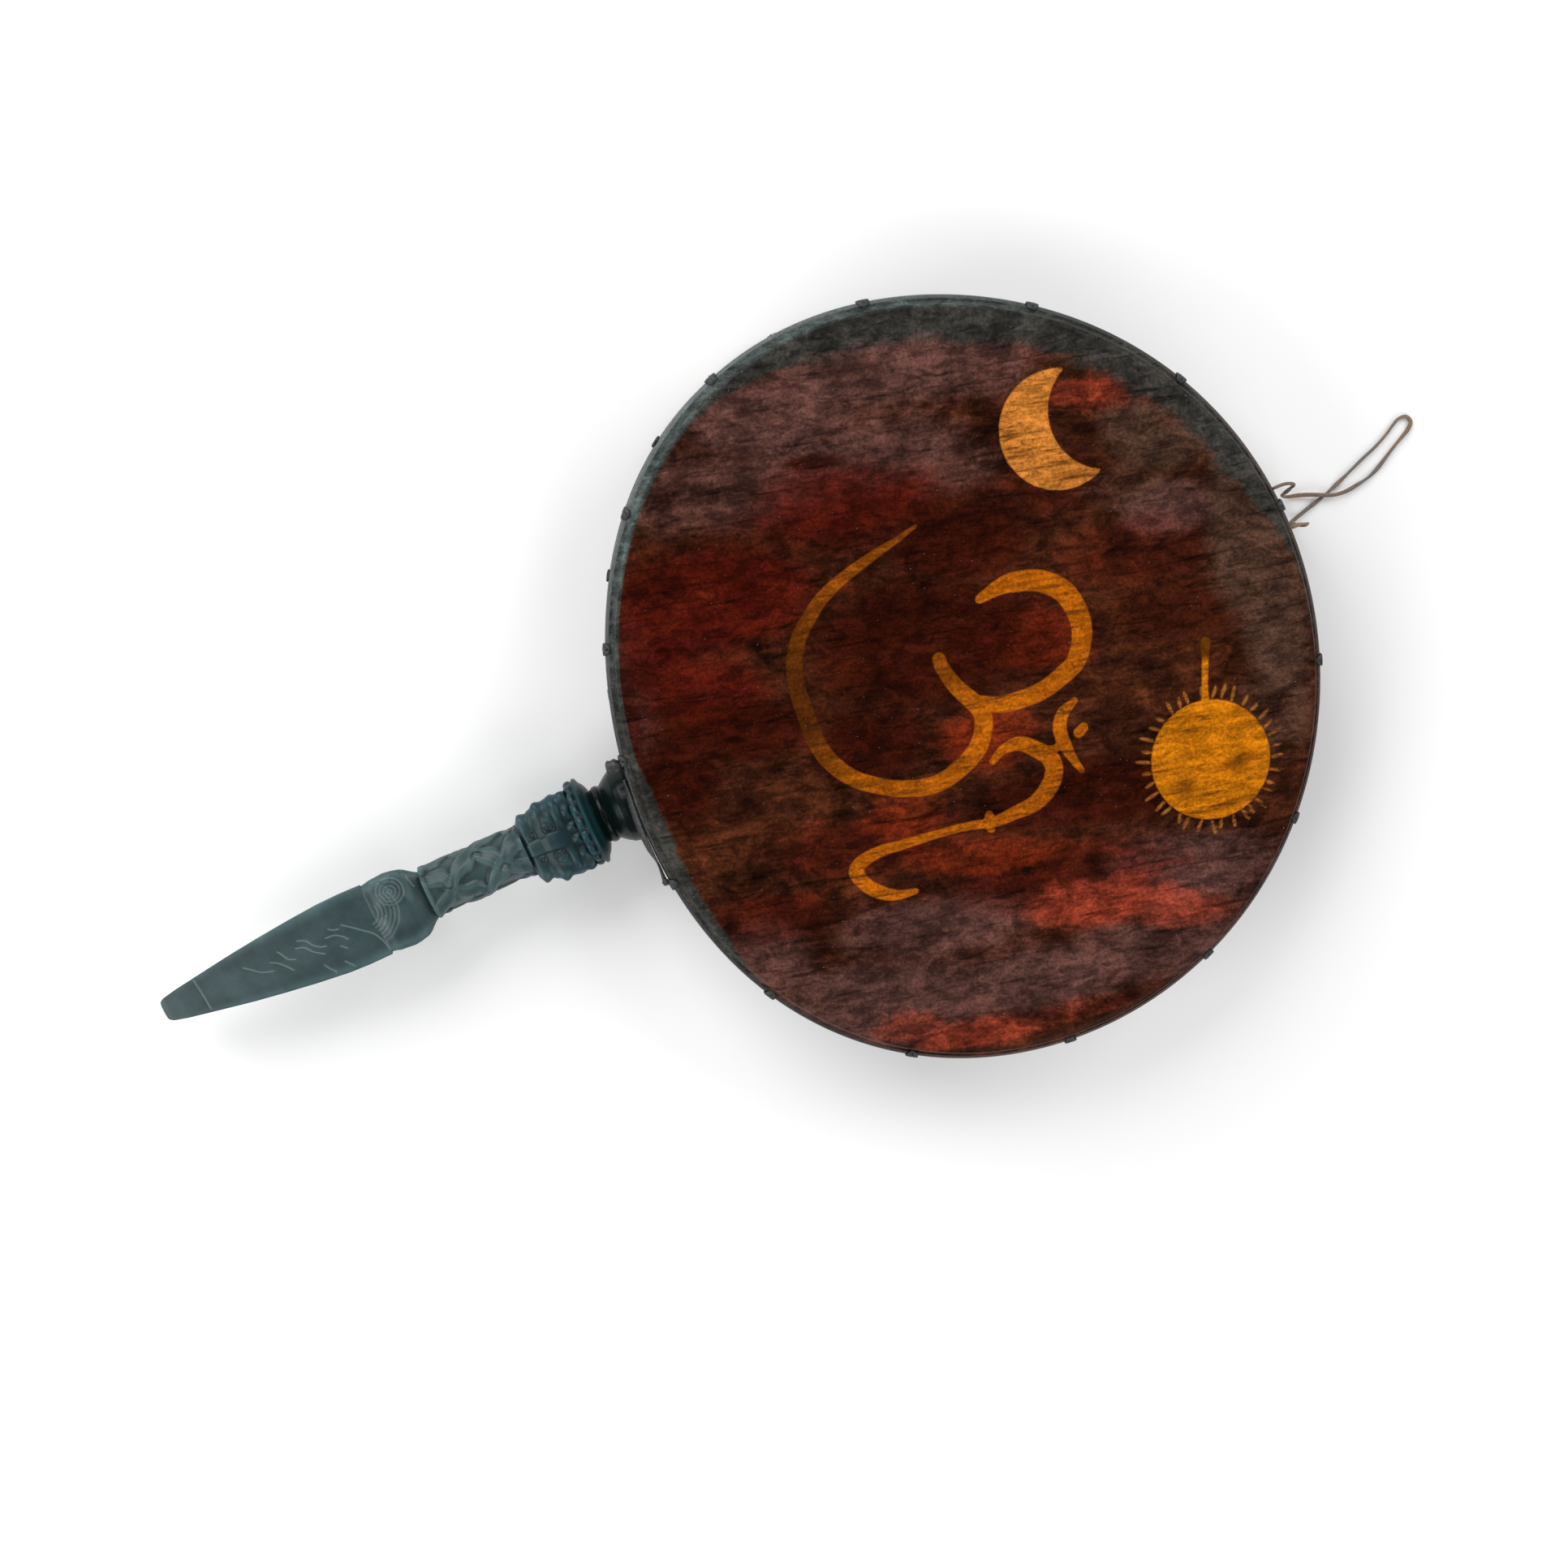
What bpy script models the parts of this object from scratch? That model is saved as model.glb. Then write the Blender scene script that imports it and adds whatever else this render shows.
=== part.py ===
"""Temple hand drum: a bent wooden hoop with a rawhide head on each side and a carved dagger handle.

The drum lies on its back head, +Z up. The origin is the centre of the back head's underside.
The handle points along -X and the hanging loop leaves at +X. Sizes are in metres.
"""
import math

import bmesh
import bpy
from mathutils import Matrix, Vector

# Drum body
DRUM_DEPTH = 0.070
HOOP_HALF_X = 0.1690
HOOP_HALF_Y = 0.1845
HOOP_WALL = 0.008
LOBE_THREE = 0.0134
LOBE_THREE_TURN = math.radians(15.6)
LOBE_FOUR = 0.0053
LOBE_FOUR_TURN = math.radians(54.0)
AROUND = 60

# Heads and the cane rings that hold them
SKIN = 0.0012
SKIRT = 0.0150
RING_RADIUS = 0.0021
RING_DROP = 0.0095
RING_SIDES = 6

# Clearance between pieces that touch, and of the lacing that is bent over the rings
GAP = 0.0003
LACE_GAP = 0.0010

# Lacing from ring to ring
THONG_HALF_WIDTH = 0.0017
THONG_HALF_THICK = 0.0006
LACE_STITCHES = 15
LACE_START = math.radians(169.9)
LACE_SPAN = math.radians(337.9)
LACE_DRIFT = math.radians(104.0)
STITCH_HALF_TURN = math.radians(1.3)
STITCH_BEND = ((1, -90), (0.97, -30), (0.8, 42), (0, 90), (-0.8, 42), (-0.97, -30), (-1, -90))
KNOT_REACH = 0.0070
KNOT_HALF_WIDTH = 0.0040
KNOB_HALF_WIDTH = 0.0025
TIE_START = math.radians(-171.9)
TIE_SPAN = math.radians(15.0)
TIE_SLACK = 0.0030
TIE_POINTS = 6

# Carved handle, from its tip to the hoop
BLADE_LENGTH = 0.1175
MAKARA_LENGTH = 0.0275
SHAFT_LENGTH = 0.0538
FACES_LENGTH = 0.0287
FLANGE_LENGTH = 0.0100
NECK_LENGTH = 0.0249
BLADE_HALF_WIDTH = 0.0193
MAKARA_HALF_WIDTH = 0.0195
SHAFT_RADIUS = 0.0116
BAND_RELIEF = 0.0026
BAND_PITCH = 0.028
FACES_HALF_WIDTH = 0.0209
FACE_RELIEF = 0.0030
FLANGE_RADIUS = 0.0232
BULB_RADIUS = 0.0195
HANDLE_SIDE = 0.0056
HANDLE_LEAN = math.radians(1.6)
TENON_RADIUS = 0.0080
TENON_PROUD = 0.0020
CORNER = math.radians(30.0)
CARVED_TURNS = (0, 5, 14, 26, 40, 60, 80, 94, 106, 115)

# Hanging loop: a leather thong from the front ring down to the ground and back
LOOP_RADIUS = 0.0011
LOOP_POINTS = 60
LOOP_ROUTE = [
    (0.1768, 0.0107, 0.0605), (0.1813, 0.0103, 0.0603), (0.1863, 0.0082, 0.0553), (0.1892, 0.0060, 0.0385),
    (0.1911, 0.0048, 0.0206), (0.1935, 0.0040, 0.0070), (0.1980, 0.0044, 0.0018), (0.2042, 0.0062, 0.0012),
    (0.2124, 0.0086, 0.0012), (0.2198, 0.0110, 0.0012), (0.2273, 0.0139, 0.0012), (0.2349, 0.0171, 0.0012),
    (0.2424, 0.0203, 0.0012), (0.2497, 0.0231, 0.0012), (0.2576, 0.0271, 0.0012), (0.2625, 0.0303, 0.0012),
    (0.2663, 0.0322, 0.0012), (0.2703, 0.0318, 0.0012), (0.2717, 0.0284, 0.0012), (0.2691, 0.0252, 0.0012),
    (0.2654, 0.0229, 0.0012), (0.2606, 0.0203, 0.0012), (0.2541, 0.0164, 0.0012), (0.2481, 0.0127, 0.0012),
    (0.2421, 0.0100, 0.0012), (0.2354, 0.0086, 0.0013), (0.2277, 0.0077, 0.0021), (0.2205, 0.0086, 0.0033),
    (0.2148, 0.0109, 0.0039), (0.2088, 0.0135, 0.0033), (0.2032, 0.0154, 0.0022), (0.1979, 0.0168, 0.0030),
    (0.1937, 0.0190, 0.0080), (0.1911, 0.0218, 0.0216), (0.1893, 0.0252, 0.0375), (0.1865, 0.0290, 0.0544),
    (0.1808, 0.0315, 0.0600), (0.1745, 0.0318, 0.0605),
]

MIDDLE_HEIGHT = DRUM_DEPTH / 2
RING_OFFSET = GAP + SKIN + GAP + RING_RADIUS
WRAP_RADIUS = RING_RADIUS + LACE_GAP + THONG_HALF_THICK
TURN_STEP = math.radians(0.5)


def clear_scene():
    for old in list(bpy.data.objects):
        bpy.data.objects.remove(old, do_unlink=True)


def finish_material(name, colour, roughness):
    material = bpy.data.materials.new(name)
    material.use_nodes = True
    shader = material.node_tree.nodes["Principled BSDF"]
    shader.inputs["Base Color"].default_value = (*colour, 1.0)
    shader.inputs["Roughness"].default_value = roughness
    shader.inputs["Metallic"].default_value = 0.0
    return material


def add_piece(name, mesh_builder, material, smooth_angle):
    """Turns a filled bmesh into a named object with its material and shading."""
    bmesh.ops.recalc_face_normals(mesh_builder, faces=mesh_builder.faces)
    mesh = bpy.data.meshes.new(name)
    mesh_builder.to_mesh(mesh)
    mesh_builder.free()
    mesh.shade_smooth()
    mesh.set_sharp_from_angle(angle=math.radians(smooth_angle))
    piece = bpy.data.objects.new(name, mesh)
    piece.data.materials.append(material)
    bpy.context.scene.collection.objects.link(piece)
    return piece


def loft(rows, closed_rows, capped):
    """Joins rows of points into one skin. Each row closes on itself round the piece."""
    builder = bmesh.new()
    loops = [[builder.verts.new(point) for point in row] for row in rows]
    pairs = list(zip(loops, loops[1:]))
    if closed_rows:
        pairs.append((loops[-1], loops[0]))
    for low, high in pairs:
        for i in range(len(low)):
            j = (i + 1) % len(low)
            builder.faces.new((low[i], low[j], high[j], high[i]))
    if capped:
        builder.faces.new(list(reversed(loops[0])))
        builder.faces.new(loops[-1])
    return builder


def hoop_edge(angle):
    """Point on the hoop's outer face, which is an oval bent a little out of true."""
    turn = math.atan2(HOOP_HALF_X * math.sin(angle), HOOP_HALF_Y * math.cos(angle))
    swell = (1 + LOBE_THREE * math.cos(3 * turn + LOBE_THREE_TURN)
             - LOBE_FOUR * math.cos(4 * turn + LOBE_FOUR_TURN))
    return Vector((HOOP_HALF_X * swell * math.cos(turn), HOOP_HALF_Y * swell * math.sin(turn), 0))


def outward_at(angle):
    along = hoop_edge(angle + TURN_STEP) - hoop_edge(angle - TURN_STEP)
    return Vector((along.y, -along.x, 0)).normalized()


def beside_hoop(angle, offset, height):
    """Point at a distance outside the hoop's outer face and at a height."""
    return hoop_edge(angle) + offset * outward_at(angle) + Vector((0, 0, height))


def around_hoop(offset, height):
    return [beside_hoop(2 * math.pi * i / AROUND, offset, height) for i in range(AROUND)]


def handle_frame():
    """Where the handle's shoulder meets the hoop, turned so that its local +X runs from the tip."""
    swell = min(hoop_edge(math.pi + i * TURN_STEP).x for i in range(-12, 13))
    shoulder = swell - GAP - BULB_RADIUS * math.sin(HANDLE_LEAN)
    return Matrix.Translation((shoulder, HANDLE_SIDE, MIDDLE_HEIGHT)) @ Matrix.Rotation(HANDLE_LEAN, 4, "Z")


def make_hoop():
    low = SKIN + GAP
    high = DRUM_DEPTH - low
    section = [(0, low), (0, high), (-HOOP_WALL, high), (-HOOP_WALL, low)]
    builder = loft([around_hoop(*corner) for corner in section], True, False)
    hoop = add_piece("hoop", builder, finish_material("painted_hoop_wood", (0.030, 0.036, 0.032), 0.5), 40)

    bpy.ops.mesh.primitive_cylinder_add(vertices=20, radius=TENON_RADIUS + GAP, depth=4 * HOOP_WALL)
    drill = bpy.context.object
    drill.name = "tenon_hole_cutter"
    drill.matrix_world = handle_frame() @ Matrix.Rotation(math.pi / 2, 4, "Y")
    drill.hide_render = True
    drill.display_type = "WIRE"
    cut = hoop.modifiers.new("tenon_hole", "BOOLEAN")
    cut.operation = "DIFFERENCE"
    cut.solver = "EXACT"
    cut.object = drill


def make_head(name, top_height, up, colour):
    """Rawhide disc with its skirt lapped down the hoop. up is 1 for the front head, -1 for the back."""
    outer = GAP + SKIN
    section = [
        (-0.67 * SKIN, 0), (0.67 * SKIN, -0.37 * SKIN), (outer, -1.5 * SKIN), (outer, -SKIRT),
        (GAP, -SKIRT), (GAP, -SKIN),
    ]
    rows = [around_hoop(offset, top_height + up * drop) for offset, drop in section]
    add_piece(name, loft(rows, False, True), finish_material(name + "_rawhide", colour, 0.45), 50)


def make_ring(name, height):
    corners = [math.tau * (i + 0.5) / RING_SIDES for i in range(RING_SIDES)]
    rows = [around_hoop(RING_OFFSET + RING_RADIUS * math.cos(c), height + RING_RADIUS * math.sin(c))
            for c in corners]
    add_piece(name, loft(rows, True, False), finish_material(name + "_cane", (0.045, 0.040, 0.032), 0.5), 65)


def stitch_angle(i):
    """Angle of a stitch on the front ring. The first stitches stand closer together."""
    share = i / (LACE_STITCHES - 1)
    return LACE_START - LACE_SPAN * share + LACE_DRIFT * share * (1 - share) ** 3


def wrap(angle, ring_height, up):
    """Thong bent over one ring from below. A row is (angle, offset, height, facing, two half sizes)."""
    rows = []
    for side, lean in STITCH_BEND:
        bend = math.radians(lean)
        rows.append((
            angle + side * STITCH_HALF_TURN,
            RING_OFFSET + WRAP_RADIUS * math.cos(bend),
            ring_height + up * WRAP_RADIUS * math.sin(bend),
            up * max(bend, -math.pi / 6), THONG_HALF_WIDTH, THONG_HALF_THICK))
    return rows


def knot(angle, ring_height):
    """Tied-off start of the thong, a lump that stands out from the first stitch."""
    offset = RING_OFFSET + WRAP_RADIUS
    swell = [(1.0, 0.55), (0.8, 1.0), (0.35, 1.0), (0.12, 0.75)]
    return [(angle + 1.2 * STITCH_HALF_TURN, offset + share * KNOT_REACH, ring_height, math.pi / 2,
             size * KNOT_HALF_WIDTH, 0.9 * size * KNOT_HALF_WIDTH) for share, size in swell]


def knob(angle, ring_height):
    """Small knot in the thong after the last stitch, lying on the ring's outer side."""
    half_thick = 0.75 * KNOB_HALF_WIDTH
    offset = RING_OFFSET + RING_RADIUS + half_thick
    swell = [(1.15, 0.6), (1.5, 1.0), (2.1, 1.0), (2.5, 0.6)]
    return [(angle - turn * STITCH_HALF_TURN, offset, ring_height, 0,
             size * KNOB_HALF_WIDTH, size * half_thick) for turn, size in swell]


def tie(ring_height):
    """Slack end of the thong, which runs in front of the handle's neck to the knot."""
    close = RING_OFFSET + RING_RADIUS + LACE_GAP + THONG_HALF_THICK
    rows = []
    for i in range(TIE_POINTS):
        share = i / (TIE_POINTS - 1)
        offset = close + TIE_SLACK * math.sin(math.pi * share ** 0.7)
        rows.append((TIE_START - share * TIE_SPAN, offset, ring_height, 0, THONG_HALF_WIDTH, THONG_HALF_THICK))
    return rows


def make_lacing():
    front = DRUM_DEPTH - RING_DROP
    angles = [stitch_angle(i) for i in range(LACE_STITCHES)]
    path = knot(angles[0], front) + wrap(angles[0], front, 1)[1:]
    for before, angle in zip(angles, angles[1:]):
        path += wrap((before + angle) / 2, RING_DROP, -1)
        path += wrap(angle, front, 1)
    path = path[:-1] + knob(angles[-1], front) + tie(front)

    places = [beside_hoop(angle, offset, height) for angle, offset, height, *_ in path]
    rows = []
    for i, (angle, _, _, facing, half_width, half_thick) in enumerate(path):
        along = (places[min(i + 1, len(path) - 1)] - places[max(i - 1, 0)]).normalized()
        normal = outward_at(angle) * math.cos(facing) + Vector((0, 0, math.sin(facing)))
        across = along.cross(normal).normalized()
        normal = across.cross(along).normalized()
        rows.append([places[i] + across * half_width * a + normal * half_thick * b
                     for a, b in ((0.8, 1), (-0.8, 1), (-1, -1), (1, -1))])
    leather = finish_material("lacing_thong", (0.050, 0.045, 0.038), 0.55)
    add_piece("lacing", loft(rows, False, True), leather, 45)


def smoothstep(low, high, value):
    share = min(max((value - low) / (high - low), 0), 1)
    return share * share * (3 - 2 * share)


def hump(value, centre, half_width):
    """Rounded bump, 1 at its centre and 0 beyond its half-width."""
    share = min(abs(value - centre) / half_width, 1)
    return (1 - share * share) ** 2


def profile(points, share):
    """Height of an outline given as (share of length, height) points, straight between them."""
    for (s0, h0), (s1, h1) in zip(points, points[1:]):
        if share <= s1:
            return h0 + (h1 - h0) * (share - s0) / (s1 - s0)
    return points[-1][1]


def from_corner(angle):
    """Angle from the nearest of the three corners, -60 to 60 degrees as radians."""
    third = math.tau / 3
    return (angle - CORNER + third / 2) % third - third / 2


def three_sided(half_width, sharpness, angle):
    """Radius of a rounded triangle whose corners stand half_width to each side."""
    total = 0
    for k in range(3):
        total += max(0.0, math.cos(angle - CORNER - math.pi / 3 - k * math.tau / 3)) ** sharpness
    flat = half_width / (2 ** (1 - 1 / sharpness) * math.cos(CORNER))
    return flat * total ** (-1 / sharpness)


def blade_radius(share, angle):
    """Three-edged blade that swells from a blunt tip."""
    outline = [(0, 0.15), (0.013, 0.25), (0.03, 0.315), (0.05, 0.345), (0.10, 0.41), (0.18, 0.49),
               (0.26, 0.57), (0.39, 0.695), (0.52, 0.80), (0.66, 0.90), (0.80, 0.98), (0.90, 1.0), (1, 0.99)]
    return three_sided(BLADE_HALF_WIDTH * profile(outline, share), 14, angle)


def makara_radius(share, angle):
    """Sea-monster head that bites the blade: snout folds, an eye on each flat, a rounded back."""
    outline = [(0, 0.92), (0.08, 0.94), (0.16, 0.97), (0.44, 1.0), (0.58, 0.975), (0.73, 0.92), (0.80, 0.86),
               (0.87, 0.775), (0.94, 0.69), (1, 0.64)]
    radius = three_sided(MAKARA_HALF_WIDTH * profile(outline, share), 5, angle)
    side = from_corner(angle)
    eye = hump(side, math.radians(26), math.radians(22)) * hump(share, 0.36, 0.30)
    brow = hump(side, math.radians(30), math.radians(34)) * hump(share, 0.74, 0.14)
    snout = hump(side, math.radians(-42), math.radians(34)) * hump(share, 0.16, 0.16)
    return radius + 0.0016 * eye + 0.0011 * brow + 0.0009 * snout


def shaft_radius(share, angle):
    """Knotted shaft: two crossing bands wind round it, one over the other."""
    along = share * SHAFT_LENGTH
    turn = 3 * (angle - CORNER)
    lean = math.tau * along / BAND_PITCH
    over = (0.5 + 0.5 * math.cos(turn + lean)) ** 1.6
    under = (0.5 + 0.5 * math.cos(turn - lean)) ** 1.6
    relief = BAND_RELIEF * max(over, 0.82 * under)
    ends = 0.0010 * (hump(share, 0.0, 0.07) + hump(share, 1.0, 0.09))
    return SHAFT_RADIUS + relief * (0.55 + 0.45 * hump(share, 0.5, 0.9)) + ends


def faces_radius(share, angle):
    """Three wrathful faces under one crown, chins towards the blade."""
    outline = [(0, 0.70), (0.08, 0.82), (0.30, 0.86), (0.42, 0.93), (0.68, 1.0), (0.86, 0.98), (1, 0.97)]
    radius = three_sided(FACES_HALF_WIDTH * profile(outline, share), 2.7, angle)
    side = from_corner(angle)
    chin = hump(side, 0, math.radians(30)) * hump(share, 0.10, 0.13)
    mouth = hump(side, 0, math.radians(26)) * hump(share, 0.29, 0.07)
    nose = hump(side, 0, math.radians(17)) * hump(share, 0.43, 0.14)
    eyes = hump(abs(side), math.radians(25), math.radians(14)) * hump(share, 0.57, 0.13)
    brows = hump(abs(side), math.radians(22), math.radians(24)) * hump(share, 0.74, 0.09)
    crown = (0.5 + 0.5 * math.cos(15 * (angle - CORNER))) * hump(share, 0.92, 0.12)
    strap = hump(abs(side), math.radians(60), math.radians(11)) * smoothstep(0.02, 0.1, share)
    relief = 0.55 * chin + 0.30 * mouth + 0.80 * nose + 0.45 * eyes + 0.45 * brows + 0.42 * crown
    return radius + FACE_RELIEF * (relief + 0.28 * strap - 0.20)


def flange_radius(share, angle):
    """Round rim of the crown."""
    outline = [(0, 0.95), (0.20, 0.985), (0.40, 1.0), (0.60, 0.96), (0.80, 0.86), (0.93, 0.76), (1, 0.66)]
    return FLANGE_RADIUS * profile(outline, share)


def neck_radius(share, angle):
    """Turned neck: a bead, a groove and a barrel that swells where it meets the hoop."""
    outline = [(0, 0.69), (0.05, 0.72), (0.11, 0.765), (0.17, 0.765), (0.23, 0.72), (0.29, 0.78), (0.38, 0.87),
               (0.49, 0.96), (0.62, 1.0), (0.78, 1.0), (0.90, 0.95), (1, 0.86)]
    return BULB_RADIUS * profile(outline, share)


def handle_sections():
    """Each carved length with its form and where its rows of points stand, as shares of it."""
    even = {count: [(i + 0.5) / count for i in range(count)] for count in (9, 11, 15)}
    blade_rows = [0, 0.013, 0.03, 0.05, 0.10, 0.18, 0.26, 0.39, 0.52, 0.66, 0.80, 0.90, 0.997]
    neck_rows = [0.02, 0.08, 0.14, 0.19, 0.23, 0.29, 0.38, 0.49, 0.62, 0.78, 0.90, 1.0]
    return [
        (BLADE_LENGTH, blade_radius, blade_rows),
        (MAKARA_LENGTH, makara_radius, [0.03] + even[9] + [0.99]),
        (SHAFT_LENGTH, shaft_radius, even[15]),
        (FACES_LENGTH, faces_radius, [0.02] + even[11] + [0.99]),
        (FLANGE_LENGTH, flange_radius, [0.03, 0.20, 0.40, 0.60, 0.80, 0.97]),
        (NECK_LENGTH, neck_radius, neck_rows),
    ]


def make_handle():
    sections = handle_sections()
    start = -sum(length for length, _, _ in sections)
    thirds = [CORNER + math.tau * third / 3 for third in range(3)]
    angles = [third + math.radians(turn) for third in thirds for turn in CARVED_TURNS]
    rings = []
    for length, radius_at, shares in sections:
        rings += [(start + share * length, [radius_at(share, angle) for angle in angles]) for share in shares]
        start += length
    rings += [(x, [TENON_RADIUS] * len(angles)) for x in (0, GAP + HOOP_WALL + TENON_PROUD)]
    frame = handle_frame()
    points = [[frame @ Vector((x, radius * math.cos(angle), radius * math.sin(angle)))
               for radius, angle in zip(radii, angles)] for x, radii in rings]
    wood = finish_material("painted_handle_wood", (0.055, 0.088, 0.094), 0.42)
    add_piece("handle", loft(points, False, True), wood, 35)


def smooth_route(route, count):
    """Points at even steps of a smooth curve through the route."""
    ends = [2 * Vector(route[0]) - Vector(route[1])]
    knots = ends + [Vector(point) for point in route] + [2 * Vector(route[-1]) - Vector(route[-2])]
    fine = []
    for i in range(1, len(knots) - 2):
        a, b, c, d = knots[i - 1:i + 3]
        for k in range(12):
            t = k / 12
            fine.append(0.5 * (2 * b + (c - a) * t + (2 * a - 5 * b + 4 * c - d) * t * t
                               + (3 * b - a - 3 * c + d) * t ** 3))
    fine.append(knots[-2])
    run = [0.0]
    for a, b in zip(fine, fine[1:]):
        run.append(run[-1] + (b - a).length)
    points = []
    for i in range(count):
        goal = run[-1] * i / (count - 1)
        k = max(1, next((n for n, r in enumerate(run) if r >= goal), len(run) - 1))
        share = (goal - run[k - 1]) / (run[k] - run[k - 1])
        points.append(fine[k - 1].lerp(fine[k], share))
    return points


def make_hanging_loop():
    curve = bpy.data.curves.new("hanging_loop", "CURVE")
    curve.dimensions = "3D"
    curve.bevel_depth = LOOP_RADIUS
    curve.bevel_resolution = 2
    curve.use_fill_caps = True
    line = curve.splines.new("POLY")
    places = smooth_route(LOOP_ROUTE, LOOP_POINTS)
    line.points.add(len(places) - 1)
    for point, place in zip(line.points, places):
        point.co = (*place, 1.0)
    loop = bpy.data.objects.new("hanging_loop", curve)
    loop.data.materials.append(finish_material("loop_thong", (0.150, 0.125, 0.100), 0.6))
    bpy.context.scene.collection.objects.link(loop)


clear_scene()
make_hoop()
make_head("front_head", DRUM_DEPTH, 1, (0.060, 0.016, 0.010))
make_head("back_head", 0.0, -1, (0.070, 0.030, 0.020))
make_ring("front_ring", DRUM_DEPTH - RING_DROP)
make_ring("back_ring", RING_DROP)
make_lacing()
make_handle()
make_hanging_loop()
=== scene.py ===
import math

import bmesh
import bpy
import numpy as np
from mathutils import Matrix, Vector


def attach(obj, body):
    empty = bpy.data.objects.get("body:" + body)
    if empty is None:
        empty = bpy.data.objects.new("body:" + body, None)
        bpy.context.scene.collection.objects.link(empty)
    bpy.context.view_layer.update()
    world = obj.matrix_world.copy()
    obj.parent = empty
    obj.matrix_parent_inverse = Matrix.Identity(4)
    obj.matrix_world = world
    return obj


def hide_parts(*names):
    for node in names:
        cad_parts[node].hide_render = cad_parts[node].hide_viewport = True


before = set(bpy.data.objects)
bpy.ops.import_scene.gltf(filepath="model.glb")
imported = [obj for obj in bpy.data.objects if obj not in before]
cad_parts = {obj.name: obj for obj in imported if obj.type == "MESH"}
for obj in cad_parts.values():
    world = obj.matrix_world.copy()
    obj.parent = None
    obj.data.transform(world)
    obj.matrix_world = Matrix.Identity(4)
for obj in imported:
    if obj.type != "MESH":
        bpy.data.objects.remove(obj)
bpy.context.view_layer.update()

# Camera
# A lens of about 45 mm looks down on the drum from a metre above it, a little from the handle's side and
# from above the far edge, as the photograph does.
EYE = (-0.115518, 0.163716, 1.007526)
SIGHT_RIGHT = (0.92407208, -0.37303926, 0.08326164)
SIGHT_DOWN = (-0.38190992, -0.90990100, 0.16194131)
SIGHT_AHEAD = (0.01534939, -0.18144389, -0.98328150)
lens = bpy.data.cameras.new("photo_camera")
lens.sensor_width = 36.0
lens.lens = 45.211
lens.clip_end = 20.0
camera = bpy.data.objects.new("photo_camera", lens)
sight = Matrix((SIGHT_RIGHT, [-d for d in SIGHT_DOWN], [-a for a in SIGHT_AHEAD])).transposed()
camera.matrix_world = Matrix.Translation(EYE) @ sight.to_4x4()
bpy.context.scene.collection.objects.link(camera)
bpy.context.scene.camera = camera

# Hanging loop
# One strip of goat hide, cut 2 mm wide and twisted by hand. It comes out from under the front ring, lies on
# the ground as an open loop with its fold furthest out, crosses over itself and goes back to the ring.
LOOP_RADIUS = 0.0011
LOOP_HALF_THICK = 0.0007
LOOP_POINTS = 420
STRIP_SIDES = 12
SPAN_STEPS = 12
LOOP_ROUTE = [
    (0.1768, 0.0107, 0.0605), (0.1813, 0.0103, 0.0603), (0.1863, 0.0082, 0.0553), (0.1892, 0.0060, 0.0385),
    (0.1911, 0.0048, 0.0206), (0.1935, 0.0040, 0.0070), (0.1980, 0.0044, 0.0018), (0.2042, 0.0062, 0.0012),
    (0.2124, 0.0086, 0.0012), (0.2198, 0.0110, 0.0012), (0.2273, 0.0139, 0.0012), (0.2349, 0.0171, 0.0012),
    (0.2424, 0.0203, 0.0012), (0.2497, 0.0231, 0.0012), (0.2576, 0.0271, 0.0012), (0.2625, 0.0303, 0.0012),
    (0.2663, 0.0322, 0.0012), (0.2703, 0.0318, 0.0012), (0.2717, 0.0284, 0.0012), (0.2691, 0.0252, 0.0012),
    (0.2654, 0.0229, 0.0012), (0.2606, 0.0203, 0.0012), (0.2541, 0.0164, 0.0012), (0.2481, 0.0127, 0.0012),
    (0.2421, 0.0100, 0.0012), (0.2354, 0.0086, 0.0013), (0.2277, 0.0077, 0.0021), (0.2205, 0.0086, 0.0033),
    (0.2148, 0.0109, 0.0039), (0.2088, 0.0135, 0.0033), (0.2032, 0.0154, 0.0022), (0.1979, 0.0168, 0.0030),
    (0.1937, 0.0190, 0.0080), (0.1911, 0.0218, 0.0216), (0.1893, 0.0252, 0.0375), (0.1865, 0.0290, 0.0544),
    (0.1808, 0.0315, 0.0600), (0.1745, 0.0318, 0.0605),
]


def linear(code):
    """Linear colour from an sRGB hex value."""
    shares = [int(code[i:i + 2], 16) / 255 for i in (1, 3, 5)]
    return [s / 12.92 if s <= 0.04045 else ((s + 0.055) / 1.055) ** 2.4 for s in shares] + [1.0]


def add_node(material, kind, links, stops=(), **settings):
    """Adds a node. links gives inputs a socket or a plain value, and stops gives a ramp its colours."""
    node = material.node_tree.nodes.new(kind)
    for name, value in settings.items():
        setattr(node, name, value)
    for name, value in links.items():
        if isinstance(value, bpy.types.NodeSocket):
            material.node_tree.links.new(value, node.inputs[name])
        else:
            node.inputs[name].default_value = value
    for i, (position, code) in enumerate(stops):
        node.color_ramp.elements[i].position = position
        node.color_ramp.elements[i].color = linear(code)
    return node


def new_finish(name, roughness, ior):
    """Material with its shader, and the place of each point, by which its patterns are drawn."""
    material = bpy.data.materials.new(name)
    material.use_nodes = True
    shader = material.node_tree.nodes["Principled BSDF"]
    shader.inputs["Roughness"].default_value = roughness
    shader.inputs["IOR"].default_value = ior
    place = add_node(material, "ShaderNodeTexCoord", {}).outputs["Object"]
    return material, shader, place


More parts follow.
